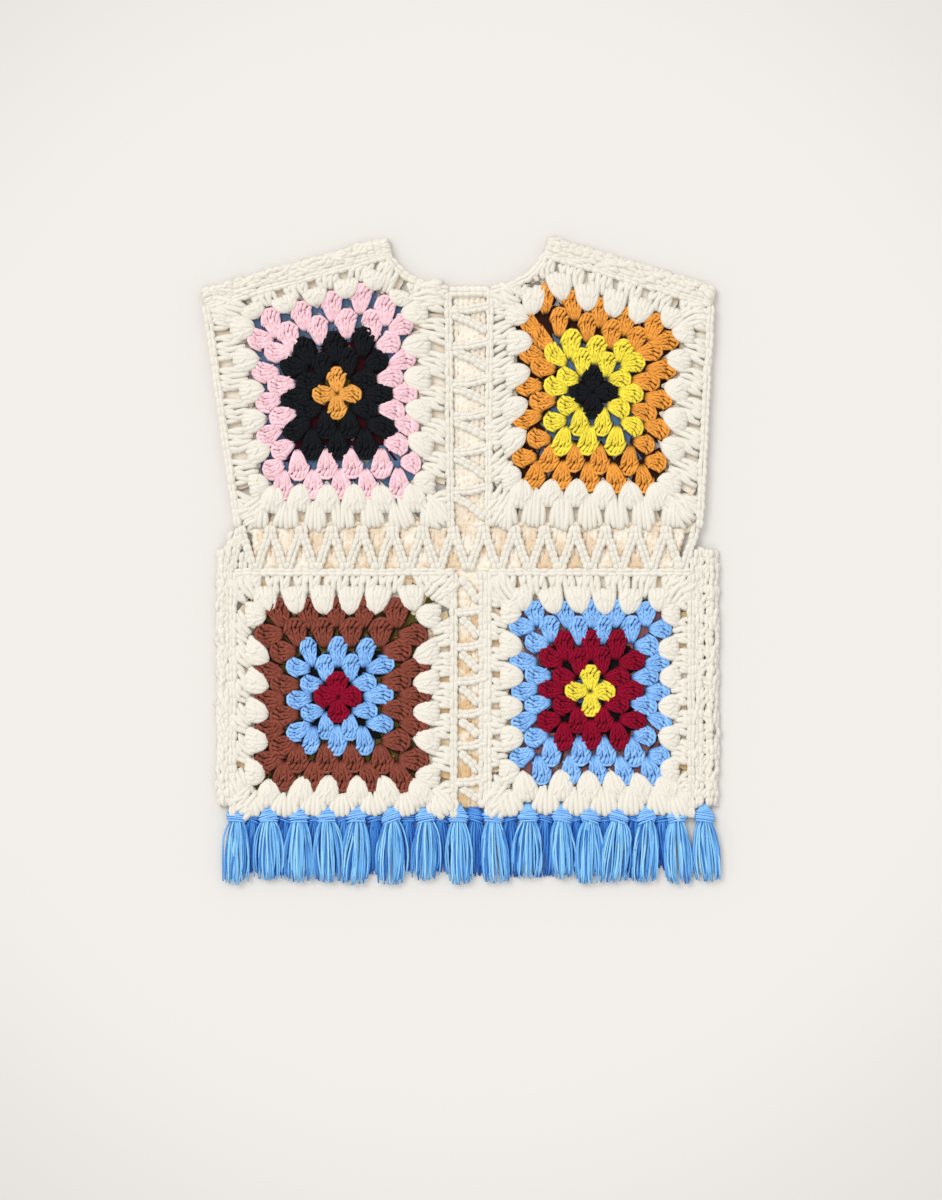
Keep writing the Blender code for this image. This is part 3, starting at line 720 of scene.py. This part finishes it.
def cluster_places(square, number):
    """Foot, top, width and the side's direction at every cluster of a round. A cluster is
    worked between two of the round below, and a side's first and last in the corner's hole."""
    places = []
    reach = FEET.get(number, number - FOOT_REACH)
    for side in range(4):
        shares = top_shares(square, side, number)
        width = side_length(square, side, number) * np.ptp(shares) / max(1, number - 1)
        for i, t in enumerate(shares):
            top = ring_point(square, side, t, TOPS.get(number, number + 0.1))
            if number == 1:
                width = 2 * CORE_HALF[0]
                foot = ring_point(square, side, 0.5, 0.1)
            elif i in (0, number - 1):
                inset = CORNER_INSET / side_length(square, side, reach)
                foot = ring_point(square, side, 1 - inset if i else inset, reach)
                foot = foot + (top - foot) * HOLE_RADIUS / np.linalg.norm(top - foot)
            else:
                below = top_shares(square, side, number - 1)
                foot = ring_point(square, side, (below[i - 1] + below[i]) / 2, reach)
            length = np.linalg.norm(top - foot)
            foot = top + (foot - top) * min(1.0, CLUSTER_LENGTH / length)
            ahead = ring_point(square, side, min(t + 0.02, 1), number)
            behind = ring_point(square, side, max(t - 0.02, 0), number)
            tangent = (ahead - behind) / np.linalg.norm(ahead - behind)
            places.append((foot, top, width, tangent))
    return places


# Colour group and the rounds from and to which each corner's holes have ground, and its half width
CORNER_HOLES = ((1, 1.2, 3.2), (2, 3.0, 5.6))
CORNER_GROUND_HALF = {"upper_left": 9.0, "upper_right": 12.5, "lower_left": 9.0,
                      "lower_right": 9.0}


def corner_line(square, side, inner, outer):
    """Both ends of a line out through a corner, from round to round, and the way across it."""
    foot, top = (ring_point(square, side, 0.0, reach) for reach in (inner, outer))
    axis = top - foot
    return foot, top, turned(axis) / np.linalg.norm(axis)


def corner_fills(square):
    """Foot, top, width and direction of the cluster that fills each corner."""
    for side in range(4):
        foot, top, across = corner_line(square, side, *FILL_REACH)
        yield foot, top, 2 * CORE_HALF[0], across


def corner_grounds(square):
    """Foot, axis, half width across and colour group of the ground below each corner's holes."""
    for side in range(4):
        for group, inner, outer in CORNER_HOLES:
            foot, top, across = corner_line(square, side, inner, outer)
            yield foot, top - foot, across * CORNER_GROUND_HALF[square], group


def cluster_frame(foot, top, width, tangent, half):
    axis = top - foot
    axis_unit = axis / np.linalg.norm(axis)
    across = turned(axis_unit)
    if across @ tangent < 0:
        across = -across
    across = (1 - TANGENT_SHARE) * across + TANGENT_SHARE * tangent
    across /= np.linalg.norm(across)
    return axis, across * min(half, width * CLUSTER_SHARE)


def place_cluster(points, foot, axis, across, base, face):
    """Points of a cluster's own terms, put in the garment's plan."""
    u, v, w = points[..., 0:1], points[..., 1:2], points[..., 2:3]
    flat = foot + v * axis + u * across
    return np.concatenate([flat, w * face + base], axis=-1)


SEAM_HALF, SEAM_STITCH, SEAM_LIFT = 4.4, 8.4, 0.6
SEAM_REACH = 6.92         # in rounds


def seam_paths(square):
    """The chains along the top of the last round, except where a free edge or the waist shows
    the clusters' own tops."""
    return [[ring_point(square, side, t, SEAM_REACH) for t in np.linspace(0, 1, 25)]
            for side in (0, 1, 3)]


GRID_U = np.linspace(-1.0, 1.0, 5)
OUTER_GROUND, INNER_GROUND = -0.2, -0.9     # how far it lies behind the strands' middles
LIP_FROM, LIP_DROP = 0.85, 1.2      # v from where the front's ground turns down, and how far
GROUND_WIDTH = {"front": 0.90, "filled": 1.15, "back": 1.45, "edge": 0.9}
FILLED = ("brown", "black", "cream")        # the front's yarns with more ground below them
GRID_V = {"front": np.linspace(0.0, 0.95, 6), "back": np.linspace(-0.2, 1.0, 6)}


def ground_patch(foot, axis, across, base, layer, shape, width):
    v, s = np.meshgrid(GRID_V[layer], GRID_U, indexing="ij")
    u = s * half_width(v, shape)
    if layer == "front":
        lip = np.clip((v - LIP_FROM) / (1 - LIP_FROM), 0, 1)
        w = OUTER_GROUND - DOME[shape] * u * u - LIP_DROP * lip
    else:
        w = INNER_GROUND + 0.3 * u * u
    v = v - 0.12 * u * u * (v > 0.7)
    points = np.stack([u * width, v, w], axis=-1)
    return place_cluster(points, foot, axis, across, base, FACE[layer])


# Points along a strand and sides round it
CLUSTER_MESH = {("fan", "front"): (6, 6), ("petal", "front"): (7, 6), ("brick", "front"): (7, 6),
                ("fan", "back"): (5, 4), ("petal", "back"): (6, 4), ("brick", "back"): (5, 4),
                ("knoll", "front"): (8, 7), ("knoll", "back"): (6, 4),
                ("cup", "front"): (8, 6), ("cup", "back"): (6, 4)}
CHAIN_MESH = {"front": (5, 5), "back": (5, 4)}

# How far each round stands above the next below it; the first entry isn't used
ROUND_LIFT = (0.0, 0.4, 0.0, 0.2, -0.1, 0.1, 0.3, -0.7)
MID = {"front": LAYER_BASE["front"] + 2.4, "back": 2.9}
FACE = {"front": 1.0, "back": -0.5}     # which way a layer's loops stand up, and how far


def ground_width(layer, colour, shape, at_edge):
    """How wide the ground below a cluster is, in the cluster's own half widths."""
    if layer == "back":
        return GROUND_WIDTH["edge" if at_edge else "back"]
    return GROUND_WIDTH["filled" if colour in FILLED and shape != "brick" else "front"]


def build_square(layer, square):
    node = f"{layer}_square_{square}"
    row = square.split("_")[0]
    face = FACE[layer]
    rng = np.random.default_rng(SEED + 100 * SQUARES.index(square) + (layer == "back"))
    colours = SQUARE_YARN[layer, square]
    yarns = {colour: Yarn() for colour in colours}
    grounds, ground_groups = [], []
    for number in range(1, ROUNDS + 1):
        group = ROUND_GROUP[number]
        strands, radii = {}, {}
        places = cluster_places(square, number)
        fills = corner_fills(square) if number == FILLED_ROUND else ()
        for k, (foot, top, width, tangent) in enumerate((*places, *fills)):
            side, fills_corner = k // number % 4, k >= len(places)
            shape = "brick" if fills_corner else SHAPES[number]
            if number == ROUNDS and side == LOW_SIDE:
                shape = LOW_SHAPE[row]
            axis, across = cluster_frame(foot, top, width, tangent, CLUSTER_HALF[square][group])
            if shape == "brick":
                across = across * BRICK_WIDTH[row][side]
            if not fills_corner:
                reach = LOW_REACH[row] if side == LOW_SIDE else REACH
                axis = axis * reach.get(number, 1.0)
                late = LATE_FOOT.get((square, number, side), 0.0)
                foot, axis = foot + late * axis, (1 - late) * axis
            foot = foot + rng.normal(0, FOOT_STRAY, 2)
            axis = axis * (1 + rng.normal(0, LENGTH_STRAY))
            across = across * (1 + rng.normal(0, WIDTH_STRAY))
            base = MID[layer] + rng.normal(0, HEIGHT_STRAY) + ROUND_LIFT[number] * face
            base += KNOLL_LIFT.get(shape, 0.0) * face
            strand, radius = VARIANTS[shape][rng.integers(VARIANT_COUNT)]
            if layer == "back" and shape in ("fan", "petal"):
                strand, radius = strand[:-FRONT_ONLY], radius[:-FRONT_ONLY]
            strands.setdefault(shape, []).append(
                place_cluster(strand, foot, axis, across, base, face))
            radii.setdefault(shape, []).append(radius * np.linalg.norm(across) / RADIUS_HALF)
            at_edge = fills_corner or number == ROUNDS and k % number in (0, number - 1)
            spread = ground_width(layer, colours[group], shape, at_edge)
            grounds.append(ground_patch(foot, axis, across, base, layer, shape, spread))
            ground_groups.append(group)
        for shape, batch in strands.items():
            yarns[colours[group]].add(np.concatenate(batch), np.concatenate(radii[shape]),
                                      *CLUSTER_MESH[shape, layer])
    if layer == "back":
        for foot, axis, across, group in corner_grounds(square):
            grounds.append(ground_patch(foot, axis, across, MID[layer], layer, "brick", 1.0))
            ground_groups.append(group)
    for path in seam_paths(square):
        yarns[colours[-1]].add(*chain_controls(path, rng, SEAM_HALF, SEAM_STITCH, SEAM_LIFT),
                              *CHAIN_MESH[layer], flat_place(layer))
    pieces = []
    for colour, yarn in yarns.items():
        name = f"yarn_{node}_{colour}"
        pieces.append(add_piece(name, yarn.mesh(name), (colour,), (node,)))
    ground = grid_mesh("ground_" + node, grounds, ground_groups)
    return add_piece("ground_" + node, ground, colours, (node,), ground=True), pieces


def square_cut(square):
    """Width and length of a square's cut, and its area, in metres."""
    outline = np.array([ring_point(square, side, t, ROUNDS) for side in range(4)
                        for t in np.linspace(0, 1, 24, endpoint=False)]) * MM
    x, y = outline.T
    area = abs(x @ np.roll(y, -1) - y @ np.roll(x, -1)) / 2
    return tuple(np.ptp(outline, axis=0)), area


# ---------------------------------------------------------------- chains

STITCH = 6.6
CHAIN_HALF = 4.0
LEG = np.array([(-0.20, 0.06, -0.8), (0.20, 0.32, 0.5), (0.64, 0.44, 1.1),
                (1.10, 0.34, 0.6), (1.52, 0.06, -0.8)])
LEG_RADIUS = np.array([1.2, 2.2, 2.6, 2.25, 1.2])
LEG_STRAY = 0.3


def chain_controls(path, rng, half=CHAIN_HALF, stitch=STITCH, lift=0.0, stray=LEG_STRAY):
    """The legs of a row of chain stitches along a path of (x, y), as control points."""
    path = np.asarray(path, float)
    at = distances(path)
    count = max(1, round((at[-1] - 0.2 * stitch) / stitch))
    size = at[-1] / (count + 0.25)
    starts = np.arange(count) * size + 0.1 * size
    legs = []
    for start in starts:
        for sign in (-1, 1):
            s = start + LEG[:, 0] * size
            along = unit(on_path(path, at, s + 0.5) - on_path(path, at, s - 0.5))
            over = np.clip(s - at[-1], 0, None)[:, None] - np.clip(-s, 0, None)[:, None]
            aside = sign * LEG[:, 1:2] * half + rng.normal(0, stray)
            flat = on_path(path, at, s) + along * over + turned(along) * aside
            w = LEG[:, 2] + lift + 0.25 * sign + rng.normal(0, stray)
            legs.append(np.concatenate([flat, w[:, None]], axis=1))
    return np.array(legs), np.tile(LEG_RADIUS * half / CHAIN_HALF, (len(legs), 1))


# ---------------------------------------------------------------- joins

def flat_place(layer):
    """Puts (x, y, w) of a flat join in a layer."""
    scale = np.array([1.0, 1.0, FACE[layer]])
    return lambda points: points * scale + np.array([0.0, 0.0, MID[layer]])


def folded_place(flange, origin, along, outward):
    """Puts (across, down, w) of a folded join round the two layers' edge."""
    bend = (WALL + LAYER_GAP) / 2
    fold = math.pi * bend
    middle = WALL + LAYER_GAP / 2

    def place(points):
        across, down, w = points[..., 0], points[..., 1], points[..., 2]
        angle = np.clip((across - flange) / bend, 0.0, math.pi)
        straight = np.minimum(across, flange) - np.maximum(across - flange - fold, 0.0)
        radius = bend + w
        out = straight + radius * np.sin(angle)
        spot = (np.array(origin) + np.array(along) * down[..., None]
                + np.array(outward) * out[..., None])
        height = middle + radius * np.cos(angle)
        return np.concatenate([spot, height[..., None]], axis=-1)

    return place


def edge_x(corners, top, low, y):
    """x of a square's inner side at a height."""
    a, b = corners[top], corners[low]
    return a[0] + (b[0] - a[0]) * (y - a[1]) / (b[1] - a[1])


def add_join(node, colours, chains, halves, place):
    """The piece of a join's chains, and the web below them as a piece of its own.
    `chains` has batches of controls, radii and layer, `halves` the paths of front and back."""
    yarn = Yarn()
    for controls, radii, layer in chains:
        yarn.add(controls, radii, *CHAIN_MESH[layer], place)
    piece = add_piece("yarn_" + node, yarn.mesh("yarn_" + node), colours, (node,))
    strips = [(place(ribbon(path)), group) for group, paths in enumerate(halves) for path in paths]
    mesh = grid_mesh("ground_" + node, *zip(*strips))
    sheet = add_piece("ground_" + node, mesh, ("cream", "cream_back"), (node,), ground=True)


JOIN_HALF = {"front": 4.8, "back": 7.4}


def add_flat_join(node, layer, paths):
    rng = np.random.default_rng(SEED + len(node))
    chains = [chain_controls(path, rng, JOIN_HALF[layer], lift=rng.normal(0, 0.3))
              for path in paths]
    controls, radii = (np.concatenate(parts) for parts in zip(*chains))
    halves = [paths if layer == side else [] for side in ("front", "back")]
    add_join(node, (YARN_OF[layer],), [(controls, radii, layer)], halves, flat_place(layer))


# A slanting chain of a lattice: how far it starts from the left side and below its rung, and
# ends from the right side and above the next rung
SLANTS = {"upper": (0.5, 6.5, 1.0, 13.0), "lower": (3.5, 8.0, 8.0, 8.5)}
STRIP, STRIP_WAVE = 3.2, 0.7        # from the lower right square to the chain beside it
SLANT_BOW = 1.2         # how far up and to the right a slanting chain's middle lies
RUNG_OVER, RUNG_DIP = 1.0, 1.6      # how far a rung runs into the squares, and sags
TOP_OVER, TOP_DROP = 2.0, 2.5       # the same of the chain along the top, and from the edge to it
BAY_OVER = 2.0          # how far the first and last bay run past the edges


def lattice(rungs, low, high, half, left, right):
    """Rungs and the slanting chain below each, as paths; `left` and `right` give x by y."""
    rise = RUNG_RISE / 2
    start_in, start_down, end_in, end_up = SLANTS[half]
    bays = list(zip(rungs, (*rungs[1:], low - BAY_OVER)))
    if half == "lower":
        bays.insert(0, (high + BAY_OVER, rungs[0]))
        paths = [[(right(y) - STRIP + STRIP_WAVE * math.sin(y / 4), y)
                  for y in np.linspace(high, low, 30)]]
    else:
        paths = [[(left(high) - TOP_OVER, high - TOP_DROP),
                  (right(high) + TOP_OVER, high - TOP_DROP)]]
    for upper, lower in bays:
        start, end = upper - start_down, lower + end_up
        a, b = (left(start) + start_in, start), (right(end) - end_in, end)
        middle = ((a[0] + b[0]) / 2 + SLANT_BOW, (a[1] + b[1]) / 2 + SLANT_BOW)
        paths.append([a, middle, b])
    for y in rungs:
        a, b = (left(y) - RUNG_OVER, y - rise), (right(y) + RUNG_OVER, y + rise)
        paths.append([a, ((a[0] + b[0]) / 2, y - RUNG_DIP), b])
    return paths


INNER_CHAINS = (0.2, 0.5, 0.8)      # chains down the back's centre, as shares of its width
SQUARE_GAP = 1.0        # from a square to the chains between two


def build_centre_joins():
    for (layer, half), rungs in CENTRE_RUNGS.items():
        left_square, _ = ring(half + "_left", ROUNDS)
        right_square, _ = ring(half + "_right", ROUNDS)
        high = min(left_square[1][1], right_square[0][1])
        low = left_square[2][1] if half == "upper" else HEM_NOTCH_TOP

        def left(y, c=left_square):
            return edge_x(c, 1, 2, y) + SQUARE_GAP

        def right(y, c=right_square):
            return edge_x(c, 0, 3, y) - SQUARE_GAP

        if layer == "front":
            paths = lattice(rungs, low, high, half, left, right)
        else:
            paths = lattice(rungs, low, high, half, lambda y: -right(y), lambda y: -left(y))
            paths = [[(-x, y) for x, y in path] for path in paths]
            for share in INNER_CHAINS:
                paths.append([(left(y) + share * (right(y) - left(y)), y)
                              for y in np.linspace(high, low, 12)])
        add_flat_join(f"{layer}_join_centre_{half}", layer, paths)


# From a bay's upper left corner down to the middle of its foot: across and height
WAIST_LEG = ((1.2, 292.5), (2.6, 281.0), (8.0, 266.0), (13.4, 249.0))
# Chains that close the front's left end
WAIST_END = ([(-230.0, 290.0), (-234.0, 268.0), (-237.0, 250.0)],
             [(-226.0, 266.0), (-227.0, 249.0)])
# The back's upright chains, as shares of a bay and their heights, and those that run across
WAIST_POSTS, WAIST_POST_ENDS = (0.08, 0.5), (289.0, 249.0)
WAIST_CHAIN_X, WAIST_CHAIN_Y = np.linspace(-230.0, 228.0, 60), (291.0, 246.0)


def build_waist_joins():
    for layer, bays in WAIST_BAYS.items():
        paths = []
        for k in range(bays):
            x = WAIST_FIRST[layer] + k * WAIST_PITCH
            paths.append([(x + across, y) for across, y in WAIST_LEG])
            paths.append([(x + WAIST_PITCH - across, y) for across, y in WAIST_LEG])
            if layer == "front" and k == 0:
                paths.extend(WAIST_END)
            if layer == "back":
                paths.extend([(x + share * WAIST_PITCH, y) for y in WAIST_POST_ENDS]
                             for share in WAIST_POSTS)
        if layer == "back":
            paths.extend([(x, y) for x in WAIST_CHAIN_X] for y in WAIST_CHAIN_Y)
        add_flat_join(f"{layer}_join_waist", layer, paths)


FOLD_CHAINS = (("front", 1.0), ("back", 1.5))       # each half's share of the chains' width
FOLD_STITCH, FOLD_STRAY = 7.6, 0.75
FOLD_EDGE = 2.2         # from a folded join's edge to the chain along it
FOLD_FOOT = 5.0         # and to the ends of its zigzag
FOLD_BAY = (0.02, 0.98)         # where the zigzag starts and ends in a bay
FOLD_WAVE, FILL_WAVE = 1.8, 0.8         # how far the chains along and beside the fold wander
# How far short of the fold its zigzag turns and where along a bay, shares of its width where more
# chains run in front, and their half width
FOLDED = {
    "join_side_left": (2.0, 0.70, (0.28,), 4.6),
    "join_side_right": (6.0, 0.70, (0.14, 0.33), 4.6),
    "join_shoulder_left": (1.0, 0.5, (0.24, 0.38), 4.8),
    "join_shoulder_right": (1.0, 0.5, (0.24, 0.38), 4.8),
}
# Chains that run down from the left armhole onto the side join: across and along it
ARMHOLE_CHAINS = (
    ((-3.0, 275.0), (7.0, 250.0), (12.5, 214.0)),
    ((-10.0, 272.0), (1.0, 246.0), (6.0, 226.0)),
)


def folded_paths(width, length, bays, turn_in, turn_share, fill):
    """Chains of a folded join's front half and back half: one along each edge, a zigzag, and in
    front one along the fold and the ones that fill its width."""
    pitch = length / bays
    steps = np.linspace(0, length, 8 * bays + 1)
    front = [[(FOLD_EDGE, 0.0), (FOLD_EDGE, length)],
             [(width / 2 + FOLD_WAVE * math.sin(2 * math.pi * y / pitch), y) for y in steps]]
    front.extend([(share * width + FILL_WAVE * math.sin(9 * math.pi * y / pitch), y)
                  for y in steps] for share in fill)
    back = [[(width - FOLD_EDGE, 0.0), (width - FOLD_EDGE, length)]]
    for k in range(bays):
        for shift, paths in ((0.0, front), (0.5, back)):
            low, turn, high = ((k + share + shift) * pitch
                               for share in (FOLD_BAY[0], turn_share, FOLD_BAY[1]))
            if high <= length:
                path = [(FOLD_FOOT, low), (width / 2 - turn_in, turn), (FOLD_FOOT, high)]
                paths.append(path if paths is front else [(width - x, y) for x, y in path])
    return front, back


def add_folded_join(node, flange, length, bays, origin, along, outward, more=()):
    """A join folded round the two layers' edge; the chains of its back half are thicker."""
    *zigzag, half = FOLDED[node]
    width = 2 * flange + math.pi * (WALL + LAYER_GAP) / 2
    halves = folded_paths(width, length, bays, *zigzag)
    halves[0].extend(more)
    rng = np.random.default_rng(SEED + len(node))
    chains = []
    for (layer, share), paths in zip(FOLD_CHAINS, halves):
        for path in paths:
            chains.append((*chain_controls(path, rng, half * share, FOLD_STITCH,
                                           rng.normal(0, 0.2), FOLD_STRAY), layer))
    add_join(node, ("cream", "cream_back"), chains, halves,
             folded_place(flange, origin, along, outward))


def build_side_joins():
    for name, corner, sign in (("left", 0, -1), ("right", 1, 1)):
        corners, _ = ring("lower_" + name, ROUNDS)
        origin = (corners[corner][0] + sign * SEAM_GAP, HEM_NOTCH_TOP)
        add_folded_join("join_side_" + name, SIDE_FLANGE[name], SIDE_TOP - HEM_NOTCH_TOP,
                        SIDE_BAYS, origin, (0, 1), (sign, 0),
                        ARMHOLE_CHAINS if name == "left" else ())


def build_shoulder_joins():
    for name, corner in (("left", 0), ("right", 1)):
        corners, shoulder = ring("upper_" + name, ROUNDS)
        armhole, tip = np.array(corners[corner], float), np.array(shoulder, float)
        length = float(np.linalg.norm(tip - armhole))
        along = (tip - armhole) / length
        outward = -turned(along)
        if outward[1] < 0:
            outward = -outward
        add_folded_join("join_shoulder_" + name, SHOULDER_FLANGE, length, SHOULDER_BAYS,
                        armhole + outward * SEAM_GAP, along, outward)


# ---------------------------------------------------------------- tassels

TASSEL_MID = {"front": LAYER_BASE["front"] + 1.0, "back": 1.1}
BELL_STRANDS = 11
# half width, height and rise of the bell above the wrap, from its neck down
BELL = np.array([(2.8, 15.0, 0.2), (4.4, 11.0, 1.6), (7.4, 6.0, 2.4), (8.4, 1.0, 2.4),
                 (7.2, -4.5, 1.0)])
SKIRT_LAYERS = ((14, 2.7, 1.02), (17, 0.7, 1.08))    # strands, rise and radius of each
# share of the skirt's spread and of its length, from under the wrap to the tips
SKIRT = np.array([(0.40, 0.0), (0.60, 0.10), (0.79, 0.26), (0.96, 0.52), (1.0, 0.78),
                  (0.93, 1.0)])
BELL_RADII = (0.8, 1.1, 1.3, 1.3, 0.9)
BELL_BULGE = np.array([0.0, 0.0, 1.5, 1.5, 0.0])        # how much higher its middle strands are
SKIRT_RADII = np.array([0.9, 1.0, 1.0, 1.0, 0.95, 0.75])
SKIRT_TOP = -2.5
SKIRT_HALF = {"front": 15.6, "back": 12.5}
WRAP_TOP, WRAP_STEP = 7.0, 2.1
WRAP_HALF = (7.4, 9.2, 10.3, 10.5, 9.8, 8.6)
WRAP_ANGLES = np.linspace(-0.2, math.pi + 0.2, 7)
WRAP_RADIUS = 1.05
WRAP_RISE = 3.9
TIP_SHORT = 11.0            # how much shorter the shortest strand of a skirt is
CROWDING = 0.8              # how far a tassel reaches past the middle between two


def tassel_strands(x, rooms, rng, layer):
    """Batches of controls and radii: the bell over the knot, the skirt and the wrap."""
    lean = rng.normal(0, 3.0)
    spread = rng.uniform(0.80, 1.0)
    reach = rng.uniform(*TASSEL_TIP[layer])
    s = (2 * (np.arange(BELL_STRANDS) + 0.5) / BELL_STRANDS - 1)[:, None]
    dome = np.sqrt(1.05 - s * s)
    bell = np.stack([x + s * BELL[:, 0] + rng.normal(0, 0.25, (BELL_STRANDS, 5)),
                     BELL[:, 1] + (1 - s * s) * BELL_BULGE,
                     dome * BELL[:, 2] + 0.2], axis=2)
    batches = [(bell, np.tile(BELL_RADII, (BELL_STRANDS, 1)), 7, 5)]
    for count, rise, radius in SKIRT_LAYERS:
        strands = []
        for k in range(count):
            s = 2 * (k + 0.5) / count - 1 + rng.normal(0, 0.10)
            room = min(SKIRT_HALF[layer] * spread, rooms[s > 0])
            tip = reach + TIP_SHORT * rng.random() ** 2.2 + 3.0 * s * s
            curl, wave = rng.normal(0, 1.1), rng.normal(0, 0.6)
            share, down = SKIRT[:, 0], SKIRT[:, 1]
            across = (s * room * share + lean * down ** 1.5 + curl * np.sin(np.pi * down)
                      + wave * np.sin(2 * np.pi * down))
            across = np.clip(across, -room - 0.6, room + 0.6)
            height = rise * math.sqrt(max(0.1, 1.1 - s * s)) * (1 - 0.55 * down)
            height = height + rng.normal(0, 0.4, len(down))
            strands.append(np.stack([x + across, SKIRT_TOP + (tip - SKIRT_TOP) * down, height],
                                    axis=1))
        batches.append((np.array(strands), np.tile(radius * SKIRT_RADII, (count, 1)), 8, 5))
    turns = []
    tilt = rng.normal(0, 1.8)
    across, up = np.cos(WRAP_ANGLES), np.sin(WRAP_ANGLES)
    for turn, half in enumerate(WRAP_HALF):
        drop = WRAP_TOP - WRAP_STEP * turn + rng.normal(0, 0.25)
        turns.append(np.stack([x - half * across,
                               drop + 1.2 * up - (tilt + rng.normal(0, 0.7)) * across,
                               0.2 + WRAP_RISE * up], axis=1))
    batches.append((np.array(turns), np.full((len(turns), 7), WRAP_RADIUS), 9, 5))
    return batches


def build_tassels():
    tassels = {(layer, half): [] for layer in LAYER_BASE for half in ("left", "right")}
    for layer, xs in (("front", FRONT_TASSELS), ("back", BACK_TASSELS)):
        bounds = [-math.inf, *((a + b) / 2 for a, b in zip(xs, xs[1:])), math.inf]
        for number, x in enumerate(xs, 1):
            node = f"{layer}_tassel_{number:02d}"
            rng = np.random.default_rng(SEED + 40 * number + (layer == "back"))
            rooms = (x - bounds[number - 1] + CROWDING, bounds[number] - x + CROWDING)
            lift = np.array([0.0, 0.0, TASSEL_MID[layer]])
            yarn = Yarn()
            bell, *skirts, wrap = tassel_strands(x, rooms, rng, layer)
            for index, batches in enumerate((skirts, (bell, wrap))):
                for controls, radii, points, sides in batches:
                    yarn.add(controls + lift, radii, points, sides, None, index)
            name = "yarn_" + node
            tassels[layer, "left" if x < 0 else "right"].append(
                add_piece(name, yarn.mesh(name), ("tassel_blue", "knot_blue"), (node,)))
    return tassels


# ---------------------------------------------------------------- floor, light and camera

FLOOR_COLOUR = (0.712, 0.697, 0.680)
# Painted shade: the floor turns darker away from the middle, as the light falls off
FLOOR_PAINTED_FALLOFF_COLOUR = (0.625, 0.612, 0.597)
FLOOR_PAINTED_FALLOFF = (0.50, 0.85)      # metres from the middle where the painted falloff starts and ends
FLOOR_HALF = 4.0
SUN_COLOUR = (1.0, 0.985, 0.96)
SUN_DIRECTION = (-0.62, 0.66, 1.0)      # towards it
SUN_STRENGTH = 1.36
SUN_SPREAD = 34.0           # degrees across, wide and soft
SKY_COLOUR = (1.0, 0.985, 0.965, 1.0)
SKY_STRENGTH = 0.937
VIEW_CENTRE = (0.0115, -0.0374)
VIEW_HEIGHT = 1.2
VIEW_PLANE = 0.006          # height of the plane that the view spans
LENS = 100.0
SENSOR = 36.0


def add_floor():
    mesh = bpy.data.meshes.new("floor")
    corners = [(x * FLOOR_HALF, y * FLOOR_HALF, 0)
               for x, y in ((-1, -1), (1, -1), (1, 1), (-1, 1))]
    mesh.from_pydata(corners, [], [(0, 1, 2, 3)])
    floor = bpy.data.objects.new("floor", mesh)
    bpy.context.scene.collection.objects.link(floor)
    nodes = Nodes("floor_paper")
    reach = nodes.add("VectorMath", {0: nodes.add("TexCoord")["Object"]}, operation="LENGTH")[1]
    # Painted shade, darker towards the floor's edges
    amount = nodes.ranged(reach, *FLOOR_PAINTED_FALLOFF, kind="SMOOTHSTEP")
    nodes.put(nodes.shader, {
        "Base Color": nodes.mix(amount, (*FLOOR_COLOUR, 1.0), (*FLOOR_PAINTED_FALLOFF_COLOUR, 1.0)),
        "Roughness": 0.95, "Specular IOR Level": 0.1})
    mesh.materials.append(nodes.material)


def add_sun():
    data = bpy.data.lights.new("key", "SUN")
    data.energy = SUN_STRENGTH
    data.angle = math.radians(SUN_SPREAD)
    data.color = SUN_COLOUR
    light = bpy.data.objects.new("key", data)
    bpy.context.scene.collection.objects.link(light)
    light.location = (-1.0, 1.0, 2.0)
    light.rotation_euler = Vector(SUN_DIRECTION).to_track_quat("Z", "Y").to_euler()


def add_camera():
    data = bpy.data.cameras.new("camera")
    data.lens = LENS
    data.sensor_width = SENSOR
    data.clip_end = 50.0
    camera = bpy.data.objects.new("camera", data)
    bpy.context.scene.collection.objects.link(camera)
    camera.location = (*VIEW_CENTRE, VIEW_HEIGHT * LENS / SENSOR + VIEW_PLANE)
    bpy.context.scene.camera = camera


def add_world():
    world = bpy.data.worlds.new("studio")
    bpy.context.scene.world = world
    world.use_nodes = True
    background = world.node_tree.nodes["Background"]
    background.inputs["Color"].default_value = SKY_COLOUR
    background.inputs["Strength"].default_value = SKY_STRENGTH


bpy.context.scene.view_settings.view_transform = "Standard"
add_floor()
add_world()
add_sun()
add_camera()

hem_tassels = build_tassels()
for layer_name in LAYER_BASE:
    for square_name in SQUARES:
        cloth, yarn_pieces = build_square(layer_name, square_name)
        height_half, side_half = square_name.split("_")
        if height_half == "lower":
            yarn_pieces.extend(hem_tassels[layer_name, side_half])
        cut, cut_area = square_cut(square_name)
        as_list(yarn_pieces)

build_centre_joins()
build_waist_joins()
build_side_joins()
build_shoulder_joins()
